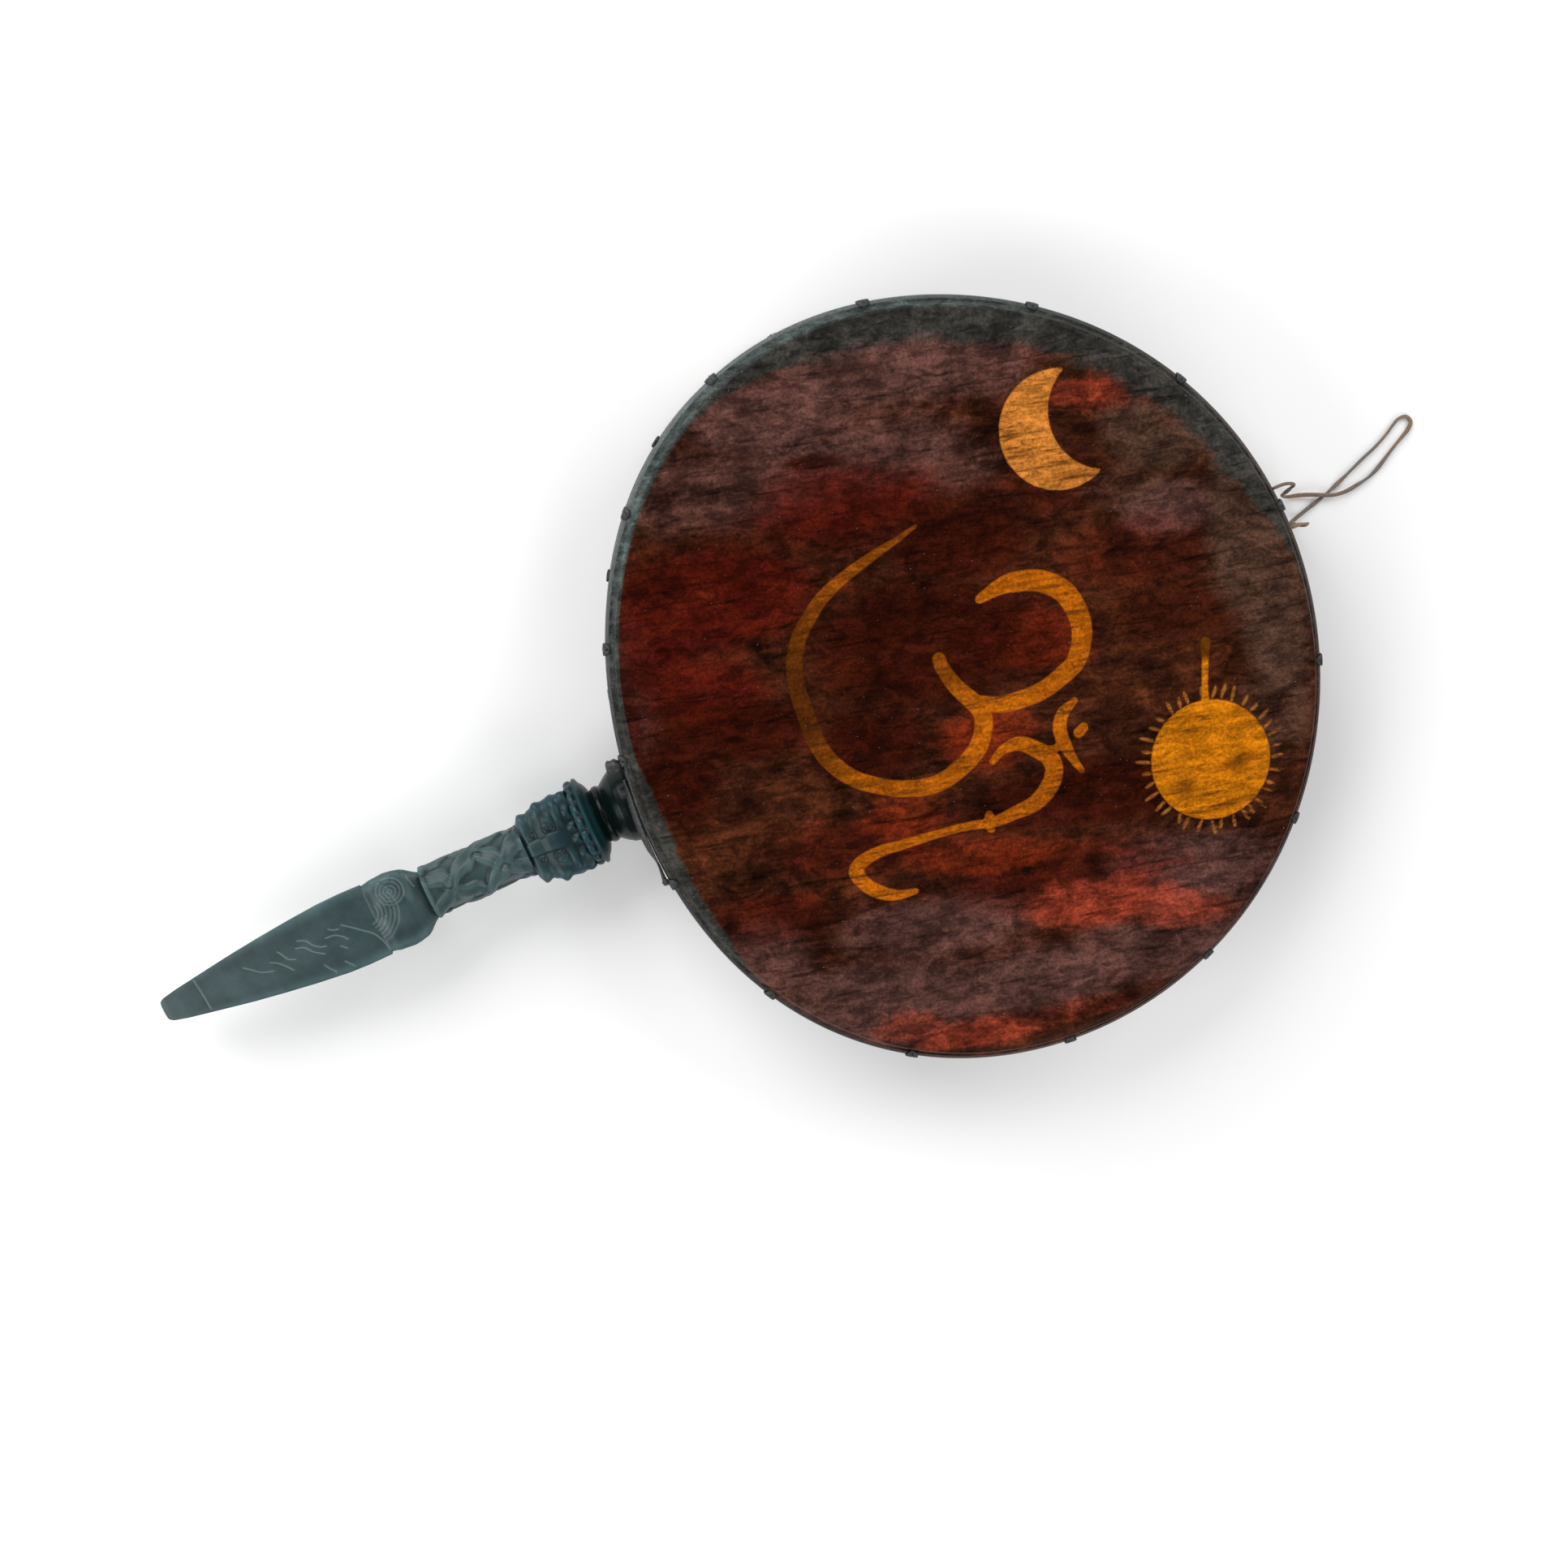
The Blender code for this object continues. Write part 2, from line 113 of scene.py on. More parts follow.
def shaded(material, colour, patterns):
    """Colour made darker and paler by patterns, each as (pattern, its low and high value, share at each)."""
    for pattern, low, high, share_low, share_high in patterns:
        share = add_node(material, "ShaderNodeMapRange", {
            "Value": pattern, "From Min": low, "From Max": high, "To Min": share_low, "To Max": share_high})
        colour = add_node(material, "ShaderNodeVectorMath", {
            0: colour, "Scale": share.outputs["Result"]}, operation="SCALE").outputs["Vector"]
    return colour


def surface(material, shader, colour, relief, strength, depth):
    """Gives the shader its colour, and its relief with a depth in metres."""
    bump = add_node(material, "ShaderNodeBump", {"Height": relief, "Strength": strength, "Distance": depth})
    material.node_tree.links.new(colour, shader.inputs["Base Color"])
    material.node_tree.links.new(bump.outputs["Normal"], shader.inputs["Normal"])


def smooth_route(route, count):
    """Points at even steps of a smooth curve through the route."""
    before = 2 * np.array(route[0]) - route[1]
    after = 2 * np.array(route[-1]) - route[-2]
    knots = np.array([before, *route, after], float)
    fine = []
    for a, b, c, d in zip(knots, knots[1:], knots[2:], knots[3:]):
        for t in np.arange(SPAN_STEPS) / SPAN_STEPS:
            fine.append(0.5 * (2 * b + (c - a) * t + (2 * a - 5 * b + 4 * c - d) * t * t
                               + (3 * b - a - 3 * c + d) * t ** 3))
    fine = np.array(fine + [knots[-2]])
    run = np.concatenate([[0], np.cumsum(np.linalg.norm(np.diff(fine, axis=0), axis=1))])
    steps = np.linspace(0, run[-1], count)
    return np.stack([np.interp(steps, run, fine[:, k]) for k in range(fine.shape[1])], axis=1)


def loft(name, rows, closed_rows, capped):
    """Mesh object through rows of points, each row going once round the piece."""
    rows = np.asarray(rows)
    count, around = rows.shape[:2]
    low, side = np.meshgrid(np.arange(count if closed_rows else count - 1), np.arange(around), indexing="ij")
    high = (low + 1) % count
    beside = (side + 1) % around
    quads = np.stack([low * around + side, low * around + beside,
                      high * around + beside, high * around + side], axis=-1)
    faces = quads.reshape(-1, 4).tolist()
    if capped:
        faces.append(list(range(around))[::-1])
        faces.append(list(range((count - 1) * around, count * around)))
    mesh = bpy.data.meshes.new(name)
    mesh.from_pydata(rows.reshape(-1, 3).tolist(), [], faces)
    builder = bmesh.new()
    builder.from_mesh(mesh)
    bmesh.ops.recalc_face_normals(builder, faces=builder.faces)
    builder.to_mesh(mesh)
    builder.free()
    mesh.shade_smooth()
    piece = bpy.data.objects.new(name, mesh)
    bpy.context.scene.collection.objects.link(piece)
    return piece


def store(piece, name, values):
    """Keeps one number for each point of the mesh, for its material to read."""
    attribute = piece.data.attributes.new(name, "FLOAT", "POINT")
    attribute.data.foreach_set("value", np.ascontiguousarray(values, dtype=np.float32).ravel())


def twisted_strip(name, path, half_width, half_thick, twist):
    """Flat strip with rounded edges that follows a path, with its twist at each point."""
    along = np.gradient(path, axis=0)
    along /= np.linalg.norm(along, axis=1)[:, None]
    across = np.cross(along, (0, 0, 1.0))
    nearly_upright = np.linalg.norm(across, axis=1) < 0.2
    across[nearly_upright] = (0, 1, 0)
    across -= along * np.sum(across * along, axis=1)[:, None]
    across /= np.linalg.norm(across, axis=1)[:, None]
    upright = np.cross(across, along)
    flat = across * np.cos(twist)[:, None] + upright * np.sin(twist)[:, None]
    proud = upright * np.cos(twist)[:, None] - across * np.sin(twist)[:, None]
    turn = math.tau * np.arange(STRIP_SIDES) / STRIP_SIDES
    wide = half_width * np.cos(turn)[:, None]
    thick = half_thick * np.sin(turn)[:, None]
    return loft(name, path[:, None] + wide * flat[:, None] + thick * proud[:, None], False, True)


loop_path = smooth_route(LOOP_ROUTE, LOOP_POINTS)
share = np.linspace(0, 1, LOOP_POINTS)
loop_twist = 3.4 * np.sin(9 * share) + 1.3 * np.sin(31 * share)
loop = twisted_strip("hanging_loop_thong", loop_path, LOOP_RADIUS, LOOP_HALF_THICK, loop_twist)
store(loop, "along", np.repeat(share, STRIP_SIDES))

# Hide thong: undyed, dry and handled until it is grey, with stretches of tan where the grain side shows.
thong, shader, place = new_finish("thong_goat_hide_hand_cut", 0.62, 1.52)
# Stretches of about 34 mm, nine in the length of the loop
stretch = add_node(thong, "ShaderNodeAttribute", {}, attribute_name="along").outputs["Fac"]
turned = add_node(thong, "ShaderNodeTexNoise", {"W": stretch, "Scale": 9.0, "Detail": 2.0},
                  noise_dimensions="1D").outputs["Fac"]
tone = add_node(thong, "ShaderNodeValToRGB", {"Fac": turned}, ((0.38, "#6b6560"), (0.66, "#8a6a4c")))
# Grain of the hide's fibres, 0.8 mm
fibres = add_node(thong, "ShaderNodeTexNoise", {
    "Vector": place, "Scale": 1250.0, "Detail": 4.0}).outputs["Fac"]
leather = shaded(thong, tone.outputs["Color"], [(fibres, 0.3, 0.7, 0.55, 1.25)])
surface(thong, shader, leather, fibres, 0.6, 0.0003)
loop.data.materials.append(thong)
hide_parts("hanging_loop")
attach(loop, "root")

# Hoop
# A thin plank of hardwood, steamed, bent round and nailed to itself, then brushed with black-green paint.
# It came out a little out of true. Only its outer face shows, between the two rings, from the side.
DRUM_DEPTH = 0.070
HOOP_HALF_X = 0.1690
HOOP_HALF_Y = 0.1845
HOOP_WALL = 0.008
LOBE_THREE = 0.0134
LOBE_THREE_TURN = math.radians(15.6)
LOBE_FOUR = 0.0053
LOBE_FOUR_TURN = math.radians(54.0)
SKIN = 0.0012
GAP = 0.0003
TURN_STEP = math.radians(0.5)
HOOP_EASE = 0.0008
HOOP_AROUND = 360


def hoop_edge(angle):
    """Points on the hoop's outer face, an oval bent a little out of true."""
    turn = np.arctan2(HOOP_HALF_X * np.sin(angle), HOOP_HALF_Y * np.cos(angle))
    swell = (1 + LOBE_THREE * np.cos(3 * turn + LOBE_THREE_TURN)
             - LOBE_FOUR * np.cos(4 * turn + LOBE_FOUR_TURN))
    x = HOOP_HALF_X * swell * np.cos(turn)
    return np.stack([x, HOOP_HALF_Y * swell * np.sin(turn), 0 * turn], axis=-1)


def outward_at(angle):
    """Directions square to the hoop's outer face."""
    along = hoop_edge(angle + TURN_STEP) - hoop_edge(angle - TURN_STEP)
    outward = np.stack([along[..., 1], -along[..., 0], 0 * along[..., 0]], axis=-1)
    return outward / np.linalg.norm(outward, axis=-1, keepdims=True)


def beside_hoop(angle, offset, height):
    """Points at a distance outside the hoop's outer face and at a height."""
    angle, offset, height = np.broadcast_arrays(angle, offset, height)
    up = np.stack([0 * height, 0 * height, height], axis=-1)
    return hoop_edge(angle) + offset[..., None] * outward_at(angle) + up


def around_hoop(section, count):
    """Rows round the hoop for a section of (offset, height) points."""
    angles = math.tau * np.arange(count) / count
    return [beside_hoop(angles, offset, height) for offset, height in section]


low = SKIN + GAP
high = DRUM_DEPTH - SKIN - GAP
hoop_section = [(0, low + HOOP_EASE), (0, high - HOOP_EASE), (-HOOP_EASE, high),
                (-HOOP_WALL + HOOP_EASE, high), (-HOOP_WALL, high - HOOP_EASE),
                (-HOOP_WALL, low + HOOP_EASE), (-HOOP_WALL + HOOP_EASE, low), (-HOOP_EASE, low)]
hoop = loft("hoop_bent_plank", around_hoop(hoop_section, HOOP_AROUND), True, False)
hoop.data.set_sharp_from_angle(angle=math.radians(30))

# Brushed paint on wood: black-green, satin, thin enough that the grain stands in it.
paint, shader, place = new_finish("hoop_wood_brush_painted", 0.48, 1.5)
# Grain runs round the hoop, so it is drawn as lines 2.5 mm apart in height
grain_place = add_node(paint, "ShaderNodeMapping", {"Vector": place, "Scale": (12.0, 12.0, 400.0)}).outputs[0]
grain = add_node(paint, "ShaderNodeTexNoise", {
    "Vector": grain_place, "Scale": 1.0, "Detail": 5.0}).outputs["Fac"]
tone = add_node(paint, "ShaderNodeValToRGB", {"Fac": grain}, ((0.35, "#171c1a"), (0.68, "#39413c")))
surface(paint, shader, tone.outputs["Color"], grain, 0.4, 0.0006)
hoop.data.materials.append(paint)
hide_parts("hoop")
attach(hoop, "root")

# Front head
# A goat skin, soaked, dyed dark red and stretched over the hoop while wet, so that it dried hard and half
# clear. The moon, the sun and the sign were painted on it by hand in ochre, which has stained and worn.
SKIRT = 0.0150
FACE_INSET = 0.0030
HEAD_AROUND = 480
HEAD_ROWS = 140
FAR_AWAY = 1000.0
# The photograph's level on the drum, and the drum's directions at its lower and upper edge
SIGHT_LEVEL = math.radians(-15)
NEAR_SIDE = (0.3, -0.95)
FAR_SIDE = (-0.31, 0.95)
MOON_OUTER = ((83.9, 98.6), 28.6)
MOON_INNER = ((108.7, 98.8), 28.2)
SUN_CENTRE = (98.1, -79.6)
SUN_RADIUS = 29.8
SUN_RAYS = 36
SUN_STEM = [(105.5, -50.9), (108.5, -42.0), (112.0, -33.0), (115.3, -24.0)]
# Dark smudges on the sun, as ovals of (x, y, half length, half height, strength) in mm
SUN_SMUDGES = [(111, -85, 10, 4, 0.6), (80, -88, 7, 10, 0.5), (92, -62, 9, 4, 0.35), (104, -104, 14, 3, 0.4)]
SIGN_BOWL = [
    (3.8, 82.0), (-5.6, 79.6), (-22.4, 76.1), (-39.3, 71.7), (-50.9, 66.8), (-58.4, 61.6), (-67.2, 54.3),
    (-73.8, 44.3), (-77.5, 31.9), (-78.6, 15.7), (-78.6, 1.6), (-74.9, -10.3), (-68.5, -19.9), (-57.9, -28.6),
    (-46.2, -34.8), (-32.1, -38.2), (-18.1, -35.3), (-7.4, -29.8), (-0.6, -21.0), (1.1, -13.1), (-1.4, -6.5),
    (-6.0, 2.7), (-8.9, 13.7), (-8.8, 18.3),
]
SIGN_CROOK = [
    (19.9, 37.8), (32.9, 39.6), (44.7, 37.3), (53.1, 32.6), (59.7, 24.4), (61.9, 12.1), (59.8, 1.9),
    (53.0, -8.1), (44.2, -12.2), (33.2, -15.3), (22.1, -15.4), (11.1, -13.9), (2.9, -9.6),
]
SIGN_TAIL = [
    (-2.6, -38.4), (4.3, -35.2), (12.8, -35.3), (19.2, -41.0), (24.1, -47.4), (24.1, -54.3), (19.0, -60.9),
    (9.8, -65.8), (-1.8, -66.6), (-12.1, -66.7), (-28.8, -63.1), (-42.4, -61.3), (-56.0, -60.0),
    (-69.7, -58.6), (-80.1, -59.9), (-84.6, -63.7), (-82.9, -70.2), (-78.5, -76.5), (-70.3, -82.1),
    (-60.7, -84.0),
]
SIGN_HORN = [(45.5, -26.0), (37.5, -30.0), (33.7, -36.6), (33.5, -45.2), (34.8, -53.2), (36.7, -59.6)]
SIGN_JOIN = [(24.0, -44.0), (28.5, -44.5), (33.5, -42.5)]
SIGN_DOT = [(41.8, -41.6), (44.8, -40.2)]
SIGN_TICK = [(-13.6, -62.6), (-16.0, -66.2), (-15.2, -69.4)]
# Broad colours of the dye, as soft ovals of (x, y, half length, half height, strength) in mm
DYE = {
    # Mauve lies mostly near the edge: partly the dye and partly a painted sheen, the pale reflection of the
    # room
    "mauve": [
        (15, 158, 80, 22, 1.0), (-41, 156, 50, 26, 1.0), (-95, 140, 40, 26, 0.65), (-60, 128, 60, 24, 0.7),
        (-5, 122, 60, 22, 0.8), (52, 140, 45, 16, 0.7), (-144, -89, 34, 26, 0.8), (-100, -131, 76, 28, 1.0),
        (42, -158, 60, 20, 0.8), (70, -128, 60, 26, 0.8), (-20, -150, 70, 20, 0.9), (-150, 60, 18, 50, 0.6),
        (-60, -104, 60, 20, 0.8), (122, 44, 30, 16, 0.9), (30, 104, 40, 20, 0.6),
    ],
    "red": [
        (-99, 86, 60, 32, 1.0), (-132, 75, 26, 50, 0.9), (-25, 104, 60, 26, 0.8), (34, 11, 34, 24, 0.7),
        (101, 30, 50, 22, 0.5), (-75, -54, 60, 20, 0.6), (10, -104, 80, 20, 0.6), (-120, 45, 40, 24, 0.8),
        (70, 75, 50, 20, 0.5), (-130, -70, 40, 20, 0.6),
    ],
    "scarlet": [
        (22, -124, 42, 14, 0.9), (58, -146, 30, 13, 0.6), (-88, -148, 26, 9, 0.7), (108, 108, 34, 10, 0.65),
        (-62, -162, 44, 10, 0.7), (-5, -172, 40, 8, 0.5),
    ],
    "dark": [
        (-16, 30, 62, 40, 1.0), (20, 68, 44, 26, 0.9), (-146, 15, 26, 34, 0.9), (-54, -8, 36, 24, 0.9),
        (46, -74, 90, 20, 1.0), (-110, 22, 50, 18, 0.9), (-25, -92, 60, 14, 0.5), (110, -5, 50, 20, 0.6),
        (-30, 128, 20, 5, 0.9), (-166, 34, 12, 60, 1.0), (-120, 104, 22, 10, 0.7), (-150, 66, 20, 12, 0.7),
    ],
    "umber": [
        (155, 28, 24, 60, 1.0), (104, 62, 34, 14, 0.5), (132, 84, 34, 30, 1.0), (152, -30, 22, 50, 0.9),
        (136, -70, 26, 30, 0.6),
    ],
    "amber": [(-2, -26, 30, 18, 0.8), (-20, -82, 50, 12, 0.7), (-52, -48, 30, 16, 0.6), (44, 8, 34, 18, 0.6)],
}
# Width in mm of the grey band inside the rim by angle in degrees: clear dry skin with a painted reflection on
# it
RIM_WIDTHS = [(-180, 7), (-165, 5), (-150, 1.5), (-67, 0.5), (-22, 3), (5, 8), (22, 13), (45, 17), (67, 19),
              (90, 17), (104, 8), (115, 2), (135, 1), (158, 0.5), (170, 2), (180, 7)]


def brush_stroke(places, line, half_widths):
    """Distance in mm outside a brush stroke, below 0 inside it, and the share of its length."""
    route = smooth_route(line, 8 * len(line))
    steps = np.linspace(0, 1, len(route))
    half = np.interp(steps, np.linspace(0, 1, len(half_widths)), half_widths)
    nearest = np.full(len(places), FAR_AWAY)
    along = np.zeros(len(places))
    for i in range(len(route) - 1):
        run = route[i + 1] - route[i]
        from_start = places - route[i]
        t = np.clip(from_start @ run / (run @ run), 0, 1)
        gap = np.linalg.norm(from_start - t[:, None] * run, axis=1) - half[i] - t * (half[i + 1] - half[i])
        closer = gap < nearest
        nearest[closer] = gap[closer]
        along[closer] = (i + t[closer]) / (len(route) - 1)
    return nearest, along


def smoothstep(low, high, value):
    """Smooth rise from 0 at the low value to 1 at the high one."""
    share = np.clip((value - low) / (high - low), 0, 1)
    return share * share * (3 - 2 * share)


def head_rows(top, up):
    """Rows of a head: its face, the hoop's edge, the fold of skin over the ring, the skirt and the inside."""
    angles = math.tau * np.arange(HEAD_AROUND) / HEAD_AROUND
    last = beside_hoop(angles, -FACE_INSET, top)
    middle = np.array([0, 0, top])
    shares = np.linspace(0.004, 1, HEAD_ROWS)
    rows = [middle + share * (last - middle) for share in shares]
    edge = [(-0.0018, 0.0001), (-0.0008, 0.0003), (0.0002, 0.0007), (0.0009, 0.0013), (0.0013, 0.0021),
            (0.0015, 0.0031), (0.0018, 0.0045), (0.0025, 0.0060), (0.0034, 0.0067), (0.0040, 0.0069),
            (0.0041, 0.0071), (0.0033, 0.0073), (0.0024, 0.0077), (0.0017, 0.0082), (0.0015, SKIRT - 0.0004),
            (0.0012, SKIRT), (0.0006, SKIRT), (GAP, SKIRT - 0.0004), (GAP, 0.0060), (GAP, SKIN)]
    rows += [beside_hoop(angles, offset, top - up * drop) for offset, drop in edge]
    inside = beside_hoop(angles, -FACE_INSET, top - up * SKIN)
    deep = np.array([0, 0, top - up * SKIN])
    rows += [deep + share * (inside - deep) for share in (1, 0.7, 0.4, 0.1, 0.01)]
    return np.array(rows)


rows = head_rows(DRUM_DEPTH, 1)
front_head = loft("front_head_painted_skin", rows, False, True)
spots = rows.reshape(-1, 3)[:, :2] * 1000
moon = np.maximum(np.linalg.norm(spots - MOON_OUTER[0], axis=1) - MOON_OUTER[1],
                  MOON_INNER[1] - np.linalg.norm(spots - MOON_INNER[0], axis=1))
sun = np.linalg.norm(spots - SUN_CENTRE, axis=1) - SUN_RADIUS
rays = np.full(len(spots), FAR_AWAY)
chance = np.random.default_rng(7)
for k in range(SUN_RAYS):
    turn = math.tau * (k + chance.uniform(-0.2, 0.2)) / SUN_RAYS
    reach = SUN_RADIUS + chance.uniform(4.5, 8.0)
    lean = turn + chance.uniform(-0.05, 0.05)
    root = np.array(SUN_CENTRE) + (SUN_RADIUS + 0.8) * np.array([math.cos(turn), math.sin(turn)])
    tip = np.array(SUN_CENTRE) + reach * np.array([math.cos(lean), math.sin(lean)])
    ray, _ = brush_stroke(spots, [root, (root + tip) / 2, tip], [0.6, 0.9, 0.6])
    rays = np.minimum(rays, ray)
stem, stem_along = brush_stroke(spots, SUN_STEM, [1.8, 1.5, 1.6, 2.5])
sun = np.minimum(sun, stem)
bowl, bowl_along = brush_stroke(spots, SIGN_BOWL, [0.8, 2.4, 3.2, 3.8, 4.2, 4.3, 4.0, 4.2, 4.5, 4.4, 3.2])
sign = bowl
for line, half_widths in (
        (SIGN_CROOK, [2.2, 5.0, 5.4, 5.2, 4.8, 4.4, 4.4, 3.6]),
        (SIGN_TAIL, [1.6, 3.6, 4.4, 4.4, 3.4, 2.2, 1.9, 2.2, 2.8, 3.6, 3.4, 1.4]),
        (SIGN_HORN, [1.5, 3.0, 3.4, 3.2, 2.2, 1.4]),
        (SIGN_JOIN, [2.6, 1.8, 2.6]),
        (SIGN_DOT, [2.6, 2.4]),
        (SIGN_TICK, [2.0, 1.7, 2.0])):
    part_of_sign, _ = brush_stroke(spots, line, half_widths)
    sign = np.minimum(sign, part_of_sign)
bowl_age = np.interp(bowl_along, [0, 0.1, 0.2, 0.3, 0.45, 0.58, 0.86, 0.97],
                     [0.6, 0.45, 0.55, 0.9, 0.95, 0.2, 0, 0.5])
faded = np.where(bowl <= sign + 0.01, bowl_age, 0)
for x, y, half_long, half_high, strength in SUN_SMUDGES:
    out = np.hypot((spots[:, 0] - x) / half_long, (spots[:, 1] - y) / half_high)
    faded = np.maximum(faded, strength * (1 - smoothstep(0.3, 1.2, out)))
faded = np.where(stem < 2, np.interp(stem_along, [0.66, 0.74], [0, 0.8]), faded)
for name, values in (("moon", moon), ("sun", sun), ("rays", rays), ("sign", sign), ("faded", faded)):
    store(front_head, name, values)
level = np.array([math.cos(SIGHT_LEVEL), math.sin(SIGHT_LEVEL)])
for name, ovals in DYE.items():
    amount = np.zeros(len(spots))
    for x, y, half_long, half_high, strength in ovals:
        away = spots - (x, y)
        over = away[:, 1] * level[0] - away[:, 0] * level[1]
        out = np.hypot(away @ level / half_long, over / half_high)
        amount = np.maximum(amount, strength * (1 - smoothstep(0.35, 1.35, out)))
    store(front_head, name, amount)
# Grey rim band with its painted reflection: distance in from the rim over the band's width at each angle
rim_angles, rim_widths = zip(*RIM_WIDTHS)
turns = np.degrees(np.arctan2(spots[:, 1], spots[:, 0]))
rim_at = np.linalg.norm(hoop_edge(np.radians(turns)), axis=1) * 1000
inward = rim_at - np.linalg.norm(spots, axis=1)
# On the near side the dye runs on to the ring, 7 mm further out
dyed_out = inward + 7 * smoothstep(10, 80, spots @ NEAR_SIDE)
store(front_head, "rim", dyed_out / np.interp(turns, rim_angles, rim_widths))
# On the far side the fold over the ring is coloured grey
far_edge_share = smoothstep(85, 165, spots @ FAR_SIDE)
store(front_head, "lip", far_edge_share * (1 - smoothstep(-1.0, 1.0, inward)))

# Dyed rawhide: hard, half clear and faintly glossy, with streaks where the dye was wiped on.
hide, shader, place = new_finish("rawhide_dyed_stretched", 0.42, 1.52)
shader.inputs["Specular IOR Level"].default_value = 0.04
# Patterns drawn out along the wiping, which rises a little to the right: streaks 60 mm long and 11 mm high,
# veins of 11 by 5 mm, and the marks of the scraping knife, 26 by 2.6 mm
drawn_out = []
for long, high, tilt, detail, roughness, distortion in (
        (0.060, 0.011, 0, 7.0, 0.62, 0.8), (0.011, 0.005, 0, 7.0, 0.66, 0.7),
        (0.026, 0.0026, 0.05, 4.0, 0.55, 0.3)):
    wiped = add_node(hide, "ShaderNodeMapping", {
        "Vector": place, "Rotation": (0, 0, SIGHT_LEVEL + tilt), "Scale": (long, high, long)},
        vector_type="TEXTURE").outputs[0]
    drawn_out.append(add_node(hide, "ShaderNodeTexNoise", {
        "Vector": wiped, "Scale": 1.0, "Detail": detail, "Roughness": roughness,
        "Distortion": distortion}).outputs["Fac"])
streaks, veins, scrapes = drawn_out
# Blotches where the dye pooled, about 20 mm, and the speckle of the grain, 1.5 mm
blotches = add_node(hide, "ShaderNodeTexNoise", {
    "Vector": place, "Scale": 48.0, "Detail": 8.0, "Roughness": 0.68, "Distortion": 0.5}).outputs["Fac"]
speckle = add_node(hide, "ShaderNodeTexNoise", {
    "Vector": place, "Scale": 640.0, "Detail": 3.0, "Roughness": 0.6}).outputs["Fac"]
mottle = add_node(hide, "ShaderNodeMath", {0: streaks, 1: blotches}, operation="ADD").outputs[0]
depth = add_node(hide, "ShaderNodeMapRange", {"Value": mottle, "From Min": 0.78, "From Max": 1.22})
colour = add_node(hide, "ShaderNodeValToRGB", {"Fac": depth.outputs["Result"]},
                  ((0, "#210b05"), (1, "#482312"))).outputs["Color"]
# The dye's colours, the mauve near the edge partly a painted sheen, and over them the grey band inside the
# rim: clear dry skin with a painted reflection of the white room on it. Each has a ragged edge: its last two
# values say where it starts and where it is full
grey = add_node(hide, "ShaderNodeMix", {
    0: blotches, 6: linear("#21211f"), 7: linear("#403f3a")}, data_type="RGBA").outputs[2]
layers = [(name, linear(tint), hold, 1.15, 1.95) for name, tint, hold in (
    ("mauve", "#533630", 0.9), ("red", "#430d05", 0.9), ("amber", "#68210a", 0.85),
    ("dark", "#2e0902", 0.85), ("umber", "#453025", 0.9), ("scarlet", "#833220", 0.95))]
for name, tint, hold, start, full in [*layers, ("rim", grey, 0.95, 2.08, 1.62)]:
    area = add_node(hide, "ShaderNodeAttribute", {}, attribute_name=name).outputs["Fac"]
    ragged = add_node(hide, "ShaderNodeMath", {0: mottle, 1: area}, operation="ADD").outputs[0]
    share = add_node(hide, "ShaderNodeMapRange", {
        "Value": ragged, "From Min": start, "From Max": full, "To Max": hold},
        interpolation_type="SMOOTHSTEP")
    colour = add_node(hide, "ShaderNodeMix", {
        0: share.outputs["Result"], 6: colour, 7: tint}, data_type="RGBA").outputs[2]
lip = add_node(hide, "ShaderNodeAttribute", {}, attribute_name="lip").outputs["Fac"]
colour = add_node(hide, "ShaderNodeMix", {
    0: lip, 6: colour, 7: linear("#454d4a")}, data_type="RGBA").outputs[2]
colour = shaded(hide, colour, [(scrapes, 0.57, 0.70, 1.0, 0.40), (speckle, 0.36, 0.64, 0.72, 1.28),
                               (veins, 0.41, 0.59, 0.6, 1.4), (blotches, 0.42, 0.60, 0.72, 1.22)])
# Ochre paint, thick in the sun and thin at the start of the sign, stained dark in streaks
rubbed = add_node(hide, "ShaderNodeMath", {0: scrapes, 1: veins}, operation="ADD").outputs[0]
stain = add_node(hide, "ShaderNodeMapRange", {
    "Value": rubbed, "From Min": 1.01, "From Max": 1.20, "To Max": 0.85}).outputs["Result"]
age = add_node(hide, "ShaderNodeAttribute", {}, attribute_name="faded").outputs["Fac"]
ragged_edge = add_node(hide, "ShaderNodeMapRange", {
    "Value": speckle, "From Min": 0.2, "From Max": 0.8, "To Min": -0.45, "To Max": 0.45}).outputs["Result"]
for name, thin, thick, hold in (("rays", "#8c5420", "#b06e2c", 0.85), ("sign", "#904504", "#bd660a", 0.97),
                                ("sun", "#ac5e05", "#cd7a0a", 0.97), ("moon", "#ac6526", "#cb7f32", 0.97)):
    gap = add_node(hide, "ShaderNodeAttribute", {}, attribute_name=name).outputs["Fac"]
    edge = add_node(hide, "ShaderNodeMath", {0: gap, 1: ragged_edge}, operation="ADD").outputs[0]
    cover = add_node(hide, "ShaderNodeMapRange", {
        "Value": edge, "From Min": 0.35, "From Max": -0.35, "To Max": hold}).outputs["Result"]
    ochre = linear(thin)
    coats = [(blotches, thick), (stain, "#4a2606")]
    if name in ("sign", "sun"):
        coats.append((age, "#3e1c05"))
    for amount, tint in coats:
        ochre = add_node(hide, "ShaderNodeMix", {
            0: amount, 6: ochre, 7: linear(tint)}, data_type="RGBA").outputs[2]
    ochre = shaded(hide, ochre, [(veins, 0.40, 0.60, 0.62, 1.32), (speckle, 0.36, 0.64, 0.72, 1.28)])
    colour = add_node(hide, "ShaderNodeMix", {0: cover, 6: colour, 7: ochre}, data_type="RGBA").outputs[2]
